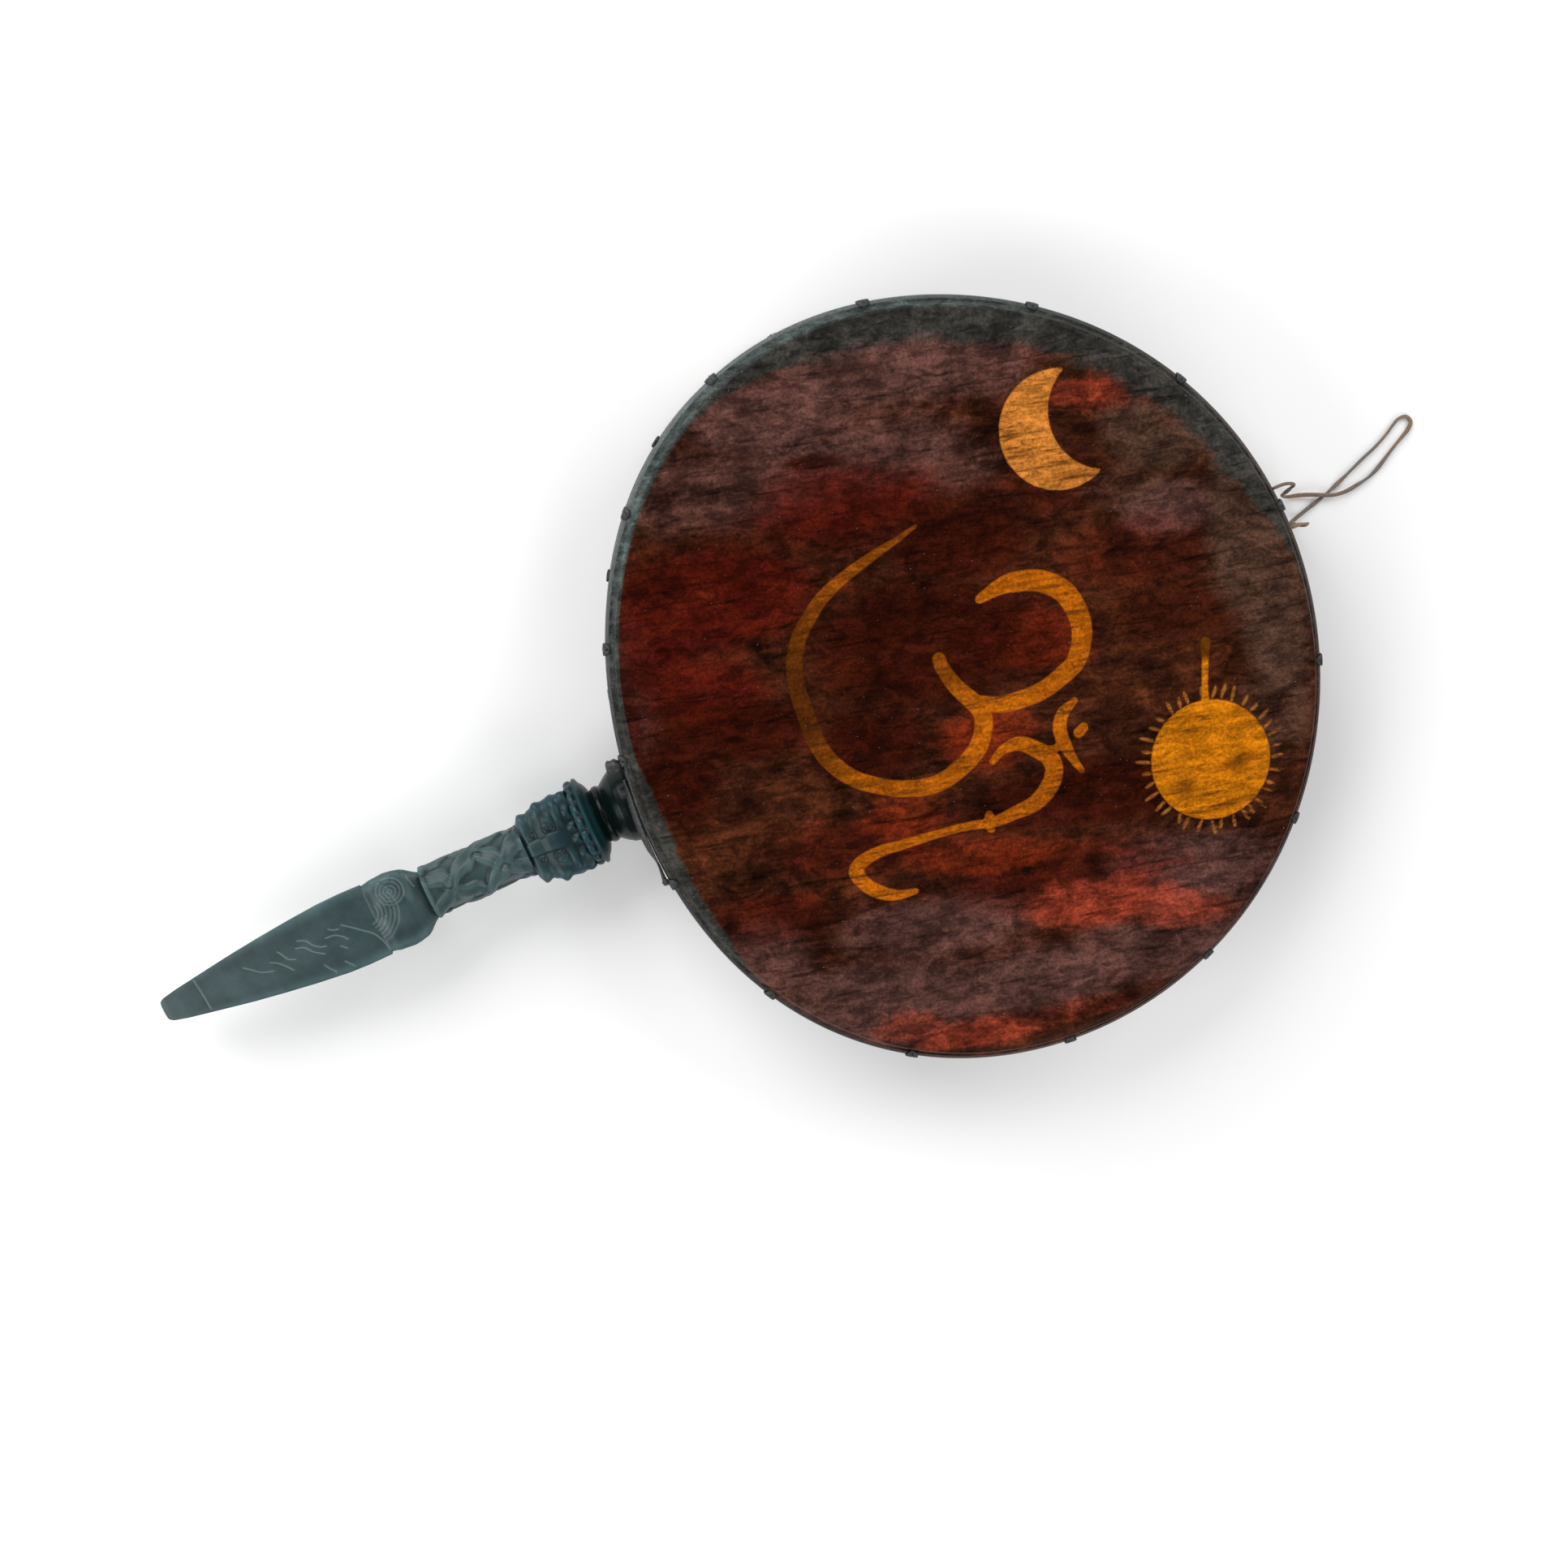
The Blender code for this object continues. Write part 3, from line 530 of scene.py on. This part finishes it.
# Dust, in specks of about a millimetre
dust = add_node(hide, "ShaderNodeTexNoise", {"Vector": place, "Scale": 900.0, "Detail": 2.0}).outputs["Fac"]
dust_share = add_node(hide, "ShaderNodeMapRange", {
    "Value": dust, "From Min": 0.74, "From Max": 0.78, "To Max": 0.6}).outputs["Result"]
colour = add_node(hide, "ShaderNodeMix", {
    0: dust_share, 6: colour, 7: linear("#a89d92")}, data_type="RGBA").outputs[2]
gloss = add_node(hide, "ShaderNodeMapRange", {"Value": blotches, "To Min": 0.18, "To Max": 0.42})
hide.node_tree.links.new(gloss.outputs["Result"], shader.inputs["Roughness"])
relief = add_node(hide, "ShaderNodeMath", {0: scrapes, 1: speckle}, operation="ADD").outputs[0]
surface(hide, shader, colour, relief, 0.35, 0.0004)
front_head.data.materials.append(hide)
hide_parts("front_head")
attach(front_head, "root")

# Back head
# The second skin of the pair, dyed red-brown and left unpainted. It was stretched in the same way as the
# front one, and the drum lies on it.
back_head = loft("back_head_plain_skin", head_rows(0.0, -1), False, True)
plain, shader, place = new_finish("rawhide_dyed_plain", 0.46, 1.52)
# Blotches of about 26 mm and the same speckle as in front
blotches = add_node(plain, "ShaderNodeTexNoise", {
    "Vector": place, "Scale": 38.0, "Detail": 8.0, "Roughness": 0.65, "Distortion": 0.6}).outputs["Fac"]
tone = add_node(plain, "ShaderNodeValToRGB", {"Fac": blotches}, ((0.3, "#2a120d"), (0.7, "#5c3327")))
speckle = add_node(plain, "ShaderNodeTexNoise", {
    "Vector": place, "Scale": 640.0, "Detail": 3.0}).outputs["Fac"]
colour = shaded(plain, tone.outputs["Color"], [(speckle, 0.3, 0.7, 0.75, 1.25)])
surface(plain, shader, colour, speckle, 0.35, 0.0004)
back_head.data.materials.append(plain)
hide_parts("back_head")
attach(back_head, "root")

# Rings
# Two hoops of split cane, 4 mm thick, that clamp the skins. The skin was wound round them while wet, so they
# look like the grey rim of the hide, wrinkled along their length.
RING_RADIUS = 0.0021
RING_DROP = 0.0095
RING_OFFSET = GAP + SKIN + GAP + RING_RADIUS
RING_SIDES = 14
DYED_SIDE = (0.68, -0.73)

wrapped, shader, place = new_finish("cane_wound_with_rawhide", 0.40, 1.52)
# Wrinkles of the shrunk skin, 3 mm apart, and blotches of 17 mm
wrinkles = add_node(wrapped, "ShaderNodeTexNoise", {
    "Vector": place, "Scale": 330.0, "Detail": 5.0, "Roughness": 0.6, "Distortion": 1.2}).outputs["Fac"]
blotches = add_node(wrapped, "ShaderNodeTexNoise", {
    "Vector": place, "Scale": 60.0, "Detail": 4.0}).outputs["Fac"]
tone = add_node(wrapped, "ShaderNodeValToRGB", {"Fac": blotches},
                ((0.35, "#0d0e0e"), (0.65, "#1e211f"))).outputs["Color"]
# The dye ran over the ring on the side away from the handle. On the far side the ring is coloured pale grey
for side, start, full, tint in ((DYED_SIDE, 0.0, 0.09, "#43291f"), (FAR_SIDE, 0.085, 0.165, "#4e5754")):
    beside = add_node(wrapped, "ShaderNodeVectorMath", {
        0: place, 1: (*side, 0)}, operation="DOT_PRODUCT").outputs["Value"]
    share = add_node(wrapped, "ShaderNodeMapRange", {"Value": beside, "From Min": start, "From Max": full})
    tone = add_node(wrapped, "ShaderNodeMix", {
        0: share.outputs["Result"], 6: tone, 7: linear(tint)}, data_type="RGBA").outputs[2]
tone = shaded(wrapped, tone, [(wrinkles, 0.3, 0.7, 0.6, 1.3)])
surface(wrapped, shader, tone, wrinkles, 0.7, 0.0008)
for node, height in (("front_ring", DRUM_DEPTH - RING_DROP), ("back_ring", RING_DROP)):
    corners = math.tau * np.arange(RING_SIDES) / RING_SIDES
    section = [(RING_OFFSET + RING_RADIUS * math.cos(c), height + RING_RADIUS * math.sin(c)) for c in corners]
    ring = loft(node + "_cane", around_hoop(section, HEAD_AROUND), True, False)
    ring.data.materials.append(wrapped)
    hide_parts(node)
    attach(ring, "root")

# Lacing
# One long thong of goat hide, cut 3.4 mm wide. It goes over the front ring, down to the back ring and up
# again, all the way round. Both its ends are knotted beside the handle, with the slack drawn across the neck.
LACE_GAP = 0.0003
THONG_HALF_WIDTH = 0.0017
THONG_HALF_THICK = 0.0006
LACE_STITCHES = 15
LACE_START = math.radians(169.9)
LACE_SPAN = math.radians(337.9)
LACE_DRIFT = math.radians(104.0)
STITCH_HALF_TURN = math.radians(0.5)
STITCH_BEND = ((1, -90), (0.97, -30), (0.8, 42), (0, 90), (-0.8, 42), (-0.97, -30), (-1, -90))
KNOT_REACH = 0.0070
KNOT_HALF_WIDTH = 0.0040
KNOB_HALF_WIDTH = 0.0025
TIE_START = math.radians(-171.9)
TIE_SPAN = math.radians(15.0)
TIE_SLACK = 0.0007
TIE_LEAN = math.radians(50)
TIE_POINTS = 7
LACE_POINTS = 1700
LACE_SIDES = 10
WRAP_RADIUS = RING_RADIUS + LACE_GAP + THONG_HALF_THICK


def stitch_angle(i):
    """Angle of a stitch on the front ring. The first stitches stand closer together."""
    share = i / (LACE_STITCHES - 1)
    return LACE_START - LACE_SPAN * share + LACE_DRIFT * share * (1 - share) ** 3


def wrap(angle, ring_height, up):
    """Thong bent over one ring from below, as (angle, offset, height, facing, two half sizes)."""
    rows = []
    for side, lean in STITCH_BEND:
        bend = math.radians(lean)
        rows.append((angle + side * STITCH_HALF_TURN, RING_OFFSET + WRAP_RADIUS * math.cos(bend),
                     ring_height + up * WRAP_RADIUS * math.sin(bend), up * max(bend, -math.pi / 6),
                     THONG_HALF_WIDTH, THONG_HALF_THICK))
    return rows


front = DRUM_DEPTH - RING_DROP
stitches = [stitch_angle(i) for i in range(LACE_STITCHES)]
lace = [(stitches[0] + 1.2 * STITCH_HALF_TURN, RING_OFFSET + WRAP_RADIUS + share * KNOT_REACH, front,
         math.pi / 2, size * KNOT_HALF_WIDTH, 0.9 * size * KNOT_HALF_WIDTH)
        for share, size in ((1.0, 0.5), (0.85, 0.95), (0.6, 0.8), (0.35, 1.0), (0.12, 0.75))]
lace += wrap(stitches[0], front, 1)[1:]
for before, angle in zip(stitches, stitches[1:]):
    lace += wrap((before + angle) / 2, RING_DROP, -1) + wrap(angle, front, 1)
lace = lace[:-1]
half_thick = 0.75 * KNOB_HALF_WIDTH
for turn, size in ((1.15, 0.6), (1.5, 1.0), (2.1, 1.0), (2.5, 0.6)):
    lace.append((stitches[-1] - turn * STITCH_HALF_TURN, RING_OFFSET + RING_RADIUS + half_thick, front, 0,
                 size * KNOB_HALF_WIDTH, size * half_thick))
for share in np.linspace(0, 1, TIE_POINTS):
    slack = TIE_SLACK * math.sin(math.pi * share ** 0.7)
    lace.append((TIE_START - share * TIE_SPAN, RING_OFFSET + WRAP_RADIUS + slack, front,
                 TIE_LEAN * math.sin(math.pi * share) ** 0.5, 1.2 * THONG_HALF_WIDTH, THONG_HALF_THICK))
lace = np.array(lace)
places = beside_hoop(lace[:, 0], lace[:, 1], lace[:, 2])
out = outward_at(lace[:, 0]) * np.cos(lace[:, 3])[:, None]
out[:, 2] += np.sin(lace[:, 3])
along = np.vstack([places[1:2] - places[:1], places[2:] - places[:-2], places[-1:] - places[-2:-1]])
across = np.cross(along, out)
across /= np.linalg.norm(across, axis=1)[:, None]
facts = smooth_route(np.hstack([places * 1000, across, lace[:, 4:] * 1000]), LACE_POINTS)
centre = facts[:, :3] / 1000
run = np.gradient(centre, axis=0)
run /= np.linalg.norm(run, axis=1)[:, None]
wide = facts[:, 3:6] - run * np.sum(facts[:, 3:6] * run, axis=1)[:, None]
wide /= np.linalg.norm(wide, axis=1)[:, None]
proud = np.cross(wide, run)
turn = math.tau * (np.arange(LACE_SIDES) + 0.5) / LACE_SIDES
flatness = np.sign(np.cos(turn)) * np.abs(np.cos(turn)) ** 0.6
swell = np.sign(np.sin(turn)) * np.abs(np.sin(turn)) ** 0.8
lace_rows = (centre[:, None] + wide[:, None] * (flatness[None] * facts[:, 6:7] / 1000)[..., None]
             + proud[:, None] * (swell[None] * facts[:, 7:8] / 1000)[..., None])
lacing = loft("lacing_thong", lace_rows, False, True)

# Laced thong: the same hide as the loop, blackened with the paint of the hoop and by handling.
cord_hide, shader, place = new_finish("thong_goat_hide_blackened", 0.5, 1.52)
# Fibres of the hide, 1.4 mm
fibres = add_node(cord_hide, "ShaderNodeTexNoise", {
    "Vector": place, "Scale": 700.0, "Detail": 4.0}).outputs["Fac"]
tone = add_node(cord_hide, "ShaderNodeValToRGB", {"Fac": fibres}, ((0.35, "#101312"), (0.68, "#343834")))
surface(cord_hide, shader, tone.outputs["Color"], fibres, 0.6, 0.0004)
lacing.data.materials.append(cord_hide)
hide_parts("lacing")
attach(lacing, "root")

# Handle
# One piece of hardwood, carved with knife and gouge as a ritual dagger and brushed with slate-green paint.
# Its tenon goes through the hoop's wall. The neck is turned and varnished, and the fine lines are scratched.
BLADE_LENGTH = 0.1175
MAKARA_LENGTH = 0.0275
SHAFT_LENGTH = 0.0538
FACES_LENGTH = 0.0287
FLANGE_LENGTH = 0.0100
NECK_LENGTH = 0.0249
BLADE_HALF_WIDTH = 0.0193
MAKARA_HALF_WIDTH = 0.0195
SHAFT_RADIUS = 0.0116
BAND_RELIEF = 0.0026
BAND_PITCH = 0.028
SHAFT_CURLS = 15
CURL_RADIUS = 0.0024
CURL_CUT = 0.0006
CURL_RISE = 0.0005
CURL_DEPTH = 0.0008
CURL_STEP = math.radians(137.5)
FACES_HALF_WIDTH = 0.0209
FACE_RELIEF = 0.0030
HAIR_RELIEF = 0.0004
LEAF_DEPTH = 0.0014
FLANGE_RADIUS = 0.0232
BULB_RADIUS = 0.0195
HANDLE_SIDE = 0.0056
HANDLE_LEAN = math.radians(1.6)
TENON_RADIUS = 0.0080
TENON_PROUD = 0.0020
CORNER = math.radians(30.0)
CARVED_AROUND = 186
CARVED_STEP = 0.00054
# Scratches in each flat, in mm from the tip and from the flat's middle: lines, then a fan where the head
# bites the blade, and rings round its eye
SCRATCH_DEPTH = 0.00032
SCRATCH_HALF_WIDTH = 0.30
SCRATCHES = [
    [(21.9, 8.6), (22.6, 1.0), (23.3, -8.0)],
    [(47.2, 4.6), (50.2, 2.4), (54.4, -1.0), (60.0, -2.8)],
    [(66.2, 5.2), (67.5, 3.1), (69.4, -0.2), (72.5, -1.8)],
    [(77.6, 6.3), (81.2, 4.8), (83.6, 1.3), (86.6, -1.0), (89.4, -1.8)],
    [(75.3, 3.1), (79.2, 1.9), (82.2, -1.7), (87.0, -5.1)],
    [(60.5, 1.8), (64.1, -0.3), (67.2, -3.5), (69.4, -6.3)],
    [(90.9, 1.9), (95.4, 1.5), (99.0, -0.9), (100.8, -3.2)],
    [(94.1, 5.5), (96.1, 4.1), (98.6, 3.6)],
    [(100.8, 4.8), (104.0, 2.3), (109.0, -1.9), (113.5, -6.0), (116.2, -11.5), (117.3, -16.6)],
    [(94.6, -12.5), (96.4, -14.8), (98.3, -16.9)],
    [(84.5, -10.3), (86.5, -13.4), (88.8, -15.9)],
    [(96.0, -4.6), (98.4, -7.0)],
    [(139.8, 13.8), (141.0, 7.7)],
]
FAN_CENTRE = (113.6, 4.7)
FAN_RADII = (6.3, 8.4, 10.5, 12.6, 14.7, 16.8)
EYE_CENTRE = (129.7, 10.5)
EYE_RADII = (1.2, 3.0, 4.9, 6.8)


def hump(value, centre, half_width):
    """Rounded bump, 1 at its centre and 0 beyond its half-width."""
    share = np.minimum(np.abs(value - centre) / half_width, 1)
    return (1 - share * share) ** 2


def profile(points, share):
    """Height at a share of a part's length, from (share, height) points."""
    heads, heights = zip(*points)
    return np.interp(share, heads, heights)


def from_corner(angle):
    """Angle from the nearest of the three corners, -60 to 60 degrees as radians."""
    third = math.tau / 3
    return (angle - CORNER + third / 2) % third - third / 2


def forms(side, share, parts):
    """Rounded forms on a side, each as (angle in degrees, half-angle, place, half-length, height)."""
    return sum(height * hump(side, math.radians(turn), math.radians(half_turn))
               * hump(share, place, half_long) for turn, half_turn, place, half_long, height in parts)


def three_sided(half_width, sharpness, angle):
    """Radius of a rounded triangle whose corners stand half_width to each side."""
    total = sum(np.maximum(0.0, np.cos(angle - CORNER - math.pi / 3 - k * math.tau / 3)) ** sharpness
                for k in range(3))
    flat = half_width / (2 ** (1 - 1 / sharpness) * math.cos(CORNER))
    return flat * total ** (-1 / sharpness)


def blade_radius(share, angle):
    """Three-edged blade that swells from a blunt tip."""
    outline = [(0, 0.15), (0.013, 0.25), (0.03, 0.315), (0.05, 0.345), (0.10, 0.41), (0.18, 0.49),
               (0.26, 0.57), (0.39, 0.695), (0.52, 0.80), (0.66, 0.90), (0.80, 0.98), (0.90, 1.0), (1, 0.99)]
    return three_sided(BLADE_HALF_WIDTH * profile(outline, share), 14, angle)


def makara_radius(share, angle):
    """Sea-monster head that bites the blade: snout folds, an eye on each flat, a rounded back."""
    outline = [(0, 0.92), (0.08, 0.94), (0.16, 0.97), (0.44, 1.0), (0.58, 0.975), (0.73, 0.92), (0.80, 0.86),
               (0.87, 0.775), (0.94, 0.69), (1, 0.64)]
    radius = three_sided(MAKARA_HALF_WIDTH * profile(outline, share), 5, angle)
    eye_brow_snout = [(26, 22, 0.36, 0.30, 0.0016), (30, 34, 0.74, 0.14, 0.0011),
                      (-42, 34, 0.16, 0.16, 0.0009)]
    return radius + forms(from_corner(angle), share, eye_brow_snout)


def shaft_radius(share, angle):
    """Knotted shaft: two bands wind round it and cross, with small curls cut between them."""
    along = share * SHAFT_LENGTH
    turn = 3 * (angle - CORNER)
    sway = 0.45 * np.sin(2 * angle + 260 * along) + 0.3 * math.sin(420 * along)
    lean = math.tau * along / BAND_PITCH + sway
    over = (0.5 + 0.5 * np.cos(turn + lean)) ** 1.6
    under = (0.5 + 0.5 * np.cos(turn - lean)) ** 1.6
    broad = np.maximum(over, 0.82 * under)
    edged = np.maximum(smoothstep(0.30, 0.45, over), 0.6 * smoothstep(0.34, 0.48, under))
    groove = np.where(over >= 0.82 * under, smoothstep(0.86, 0.97, over), 0.8 * smoothstep(0.86, 0.97, under))
    relief = BAND_RELIEF * (0.55 * broad + 0.42 * edged - 0.16 * groove)
    curls = 0 * angle
    for k in range(SHAFT_CURLS):
        past = along - (k + 0.5) / SHAFT_CURLS * SHAFT_LENGTH
        turned = (angle - CORNER - k * CURL_STEP + math.pi) % math.tau - math.pi
        beside = 1.15 * SHAFT_RADIUS * turned
        away = np.hypot(beside, past)
        arc = 0.5 + 0.5 * np.cos(np.arctan2(past, beside) - 2.0 * k)
        knob = np.exp(-(away / CURL_RADIUS) ** 2)
        hollow = arc * np.exp(-((away - CURL_RADIUS) / CURL_CUT) ** 2)
        curls = curls + CURL_RISE * knob - CURL_DEPTH * hollow
    ends = 0.0010 * (hump(share, 0.0, 0.07) + hump(share, 1.0, 0.09))
    return SHAFT_RADIUS + relief * (0.55 + 0.45 * hump(share, 0.5, 0.9)) + ends + curls


def faces_radius(share, angle):
    """Three wrathful faces under one crown, chins towards the blade, with curls of hair beside each."""
    outline = [(0, 0.70), (0.08, 0.82), (0.30, 0.86), (0.42, 0.93), (0.68, 1.0), (0.86, 0.98), (1, 0.97)]
    radius = three_sided(FACES_HALF_WIDTH * profile(outline, share), 2.7, angle)
    side = np.abs(from_corner(angle))
    chin_mouth_nose = [(0, 30, 0.10, 0.13, 0.55), (0, 26, 0.29, 0.07, 0.30), (0, 17, 0.43, 0.14, 0.80)]
    eyes_brows = [(25, 14, 0.57, 0.13, 0.45), (22, 24, 0.74, 0.09, 0.45)]
    crown = (0.5 + 0.5 * np.cos(15 * (angle - CORNER))) * hump(share, 0.92, 0.12)
    strap = smoothstep(math.radians(43), math.radians(46), side) * (1 - smoothstep(0.55, 0.75, share))
    relief = forms(side, share, chin_mouth_nose + eyes_brows) + 0.42 * crown
    curl = 0 * angle
    for centre, size in ((0.22, 0.0030), (0.52, 0.0042)):
        curl_x = (share - centre) * FACES_LENGTH
        curl_y = (side - math.radians(33)) * FACES_HALF_WIDTH * 0.85
        reach = np.hypot(curl_x, curl_y)
        winding = np.cos(reach * 4200 - np.arctan2(curl_y, curl_x))
        curl = curl + winding * (1 - smoothstep(0.7 * size, size, reach))
    return radius + FACE_RELIEF * (relief + 0.22 * strap - 0.20) + HAIR_RELIEF * curl


def flange_radius(share, angle):
    """Rim of the crown: a row of small leaves with a plain edge behind them."""
    outline = [(0, 0.93), (0.10, 0.975), (0.30, 0.985), (0.42, 0.93), (0.50, 0.985), (0.62, 0.97),
               (0.70, 0.87), (0.86, 0.79), (1, 0.66)]
    front = 1 - smoothstep(0.30, 0.42, share)
    leaves = np.abs(np.sin(9 * (angle - CORNER))) ** 0.6 * front
    return FLANGE_RADIUS * profile(outline, share) - LEAF_DEPTH * (1 - leaves) * front


def neck_radius(share, angle):
    """Turned neck: a bead, a groove and a barrel that swells where it meets the hoop."""
    outline = [(0, 0.69), (0.05, 0.72), (0.11, 0.765), (0.17, 0.765), (0.23, 0.72), (0.29, 0.78),
               (0.38, 0.87), (0.49, 0.96), (0.62, 1.0), (0.78, 1.0), (0.90, 0.95), (1, 0.86)]
    return BULB_RADIUS * profile(outline, share) + 0 * angle


def ring_cut(x, y, centre, radii, bow_from, bow_to):
    """How deep a point lies in a set of round scratches about one centre."""
    away = np.hypot(x - centre[0], y - centre[1])
    bearing = np.degrees(np.arctan2(y - centre[1], x - centre[0]))
    inside = (bearing > bow_from) & (bearing < bow_to)
    depth = sum(np.exp(-((away - r) / 0.32) ** 2) for r in radii)
    return np.where(inside, depth, 0)


turns = math.tau * np.arange(CARVED_AROUND) / CARVED_AROUND + CORNER
start = -(BLADE_LENGTH + MAKARA_LENGTH + SHAFT_LENGTH + FACES_LENGTH + FLANGE_LENGTH + NECK_LENGTH)
tip = start
stations = []
radii = []
for length, radius_at in ((BLADE_LENGTH, blade_radius), (MAKARA_LENGTH, makara_radius),
                          (SHAFT_LENGTH, shaft_radius), (FACES_LENGTH, faces_radius),
                          (FLANGE_LENGTH, flange_radius), (NECK_LENGTH, neck_radius)):
    shares = np.linspace(0.004, 0.998, round(length / CARVED_STEP))
    for share in shares:
        stations.append(start + share * length)
        radii.append(radius_at(share, turns))
    start += length
for x in (0, GAP + HOOP_WALL + TENON_PROUD):
    stations.append(x)
    radii.append(np.full(CARVED_AROUND, TENON_RADIUS))
stations = np.array(stations)
radii = np.array(radii)
# Round off the tip of the blade, which has no sharp rim
radii[0] *= 0.55
radii[1] *= 0.88
flat_turn = (turns[None] - math.pi / 2 + math.pi / 3) % (math.tau / 3) - math.pi / 3
from_tip = (stations[:, None] - tip) * 1000 + 0 * flat_turn
beside = -radii * np.sin(flat_turn) * 1000
cut = np.zeros(radii.shape)
carved = from_tip[:, 0] < (BLADE_LENGTH + MAKARA_LENGTH) * 1000 - 2
spots = np.stack([from_tip[carved].ravel(), beside[carved].ravel()], axis=1)
depth = np.zeros(len(spots))
for line in SCRATCHES:
    gap, _ = brush_stroke(spots, line, [0.0, 0.0])
    depth = np.maximum(depth, np.exp(-(gap / SCRATCH_HALF_WIDTH) ** 2))
depth = np.maximum(depth, 0.7 * ring_cut(spots[:, 0], spots[:, 1], FAN_CENTRE, FAN_RADII, -78, 24))
depth = np.maximum(depth, 0.8 * ring_cut(spots[:, 0], spots[:, 1], EYE_CENTRE, EYE_RADII, -150, 181))
cut[carved] = depth.reshape(-1, CARVED_AROUND)
smooth_radii = radii.copy()
radii = radii - SCRATCH_DEPTH * cut
wall = hoop_edge(math.pi + TURN_STEP * np.arange(-12, 13))[:, 0].min()
neck_end = (wall - GAP - BULB_RADIUS * math.sin(HANDLE_LEAN), HANDLE_SIDE, DRUM_DEPTH / 2)
local = np.stack([stations[:, None] + 0 * radii, radii * np.cos(turns), radii * np.sin(turns)], axis=-1)
lean = np.array(Matrix.Rotation(HANDLE_LEAN, 3, "Z"))
handle = loft("handle_carved_dagger", local @ lean.T + neck_end, False, True)
handle.data.set_sharp_from_angle(angle=math.radians(50))
store(handle, "cut", cut)
# Painted shade and highlight: how far each point stands above (highlight) or sinks below (shade) its
# neighbours, in mm
around_mean = smooth_radii.copy()
for shift in (-6, -4, -2, 2, 4, 6):
    around_mean += np.roll(smooth_radii, shift, axis=1)
around_mean /= 7
long_mean = np.array([np.convolve(column, np.ones(9) / 9, mode="same") for column in around_mean.T]).T
proud = (smooth_radii - np.where(long_mean > 0, long_mean, smooth_radii)) * 1000
proud[stations < tip + BLADE_LENGTH] *= 0.35
store(handle, "proud", proud)
carving_end = -FLANGE_LENGTH - NECK_LENGTH
for name, begin, full in (("deeper", carving_end - 0.040, carving_end - 0.004),
                          ("varnish", -NECK_LENGTH - 0.0005, -NECK_LENGTH + 0.0015)):
    store(handle, name, smoothstep(begin, full, stations)[:, None] + 0 * radii)

# Slate-green paint on wood, thin and matt on the blade; painted shade in the hollows, painted highlight on
# high places.
slate, shader, place = new_finish("handle_wood_slate_painted", 0.5, 1.5)
# Patches of 14 mm where the paint is thinner
patches = add_node(slate, "ShaderNodeTexNoise", {
    "Vector": place, "Scale": 70.0, "Detail": 6.0, "Roughness": 0.6}).outputs["Fac"]
tone = add_node(slate, "ShaderNodeValToRGB", {"Fac": patches}, ((0.32, "#2e4042"), (0.70, "#415557")))
deeper = add_node(slate, "ShaderNodeAttribute", {}, attribute_name="deeper").outputs["Fac"]
colour = add_node(slate, "ShaderNodeMix", {
    0: deeper, 6: tone.outputs["Color"], 7: linear("#102e33")}, data_type="RGBA").outputs[2]
# Painted shade in the hollows and painted highlight on the high places, from how proud each point stands
high = add_node(slate, "ShaderNodeAttribute", {}, attribute_name="proud").outputs["Fac"]
colour = shaded(slate, colour, [(high, -0.5, 0.6, 0.42, 1.42)])
# The scratches show pale, and the neck's varnish is nearly black
scratched = add_node(slate, "ShaderNodeAttribute", {}, attribute_name="cut").outputs["Fac"]
pale = add_node(slate, "ShaderNodeMath", {0: scratched, 1: 0.32}, operation="MULTIPLY").outputs[0]
varnish = add_node(slate, "ShaderNodeAttribute", {}, attribute_name="varnish").outputs["Fac"]
for amount, tint in ((pale, "#9fb0b0"), (varnish, "#04100f")):
    colour = add_node(slate, "ShaderNodeMix", {
        0: amount, 6: colour, 7: linear(tint)}, data_type="RGBA").outputs[2]
for name, painted, varnished in (("Roughness", 0.38, 0.24), ("Specular IOR Level", 0.26, 0.15)):
    share = add_node(slate, "ShaderNodeMapRange", {"Value": varnish, "To Min": painted, "To Max": varnished})
    slate.node_tree.links.new(share.outputs["Result"], shader.inputs[name])
# The wood's grain runs along the handle, in lines 0.7 mm apart
grain_place = add_node(slate, "ShaderNodeMapping", {
    "Vector": place, "Scale": (60.0, 1400.0, 1400.0)}).outputs[0]
grain = add_node(slate, "ShaderNodeTexNoise", {
    "Vector": grain_place, "Scale": 1.0, "Detail": 3.0}).outputs["Fac"]
surface(slate, shader, colour, grain, 0.25, 0.0003)
handle.data.materials.append(slate)
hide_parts("handle")
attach(handle, "root")

# Studio
# A plain white table and soft lamps. The lamps stand low round the drum, so that the dark skin shows its
# colour and isn't veiled by a reflection.
TABLE = 6.0
bpy.ops.mesh.primitive_plane_add(size=TABLE)
table = bpy.context.object
table.name = "studio_table"
card, shader, _ = new_finish("table_white_card_matt", 0.9, 1.45)
shader.inputs["Base Color"].default_value = linear("#fafafa")
shader.inputs["Specular IOR Level"].default_value = 0.1
table.data.materials.append(card)
for name, spot, size, watts in (
        ("lamp_far", (-0.5, 1.6, 1.3), 1.3, 30), ("lamp_left", (-1.7, -0.2, 1.2), 1.1, 17),
        ("lamp_right", (1.6, 0.5, 1.2), 1.1, 14), ("lamp_near", (0.3, -1.6, 1.3), 1.2, 12)):
    soft = bpy.data.lights.new(name, "AREA")
    soft.size = size
    soft.energy = watts
    lamp = bpy.data.objects.new(name, soft)
    lamp.location = spot
    lamp.rotation_euler = Vector(spot).to_track_quat("Z", "Y").to_euler()
    bpy.context.scene.collection.objects.link(lamp)
world = bpy.data.worlds.new("studio_air")
world.use_nodes = True
world.node_tree.nodes["Background"].inputs["Color"].default_value = (1, 1, 1, 1)
world.node_tree.nodes["Background"].inputs["Strength"].default_value = 0.28
bpy.context.scene.world = world
bpy.context.scene.view_settings.view_transform = "Standard"
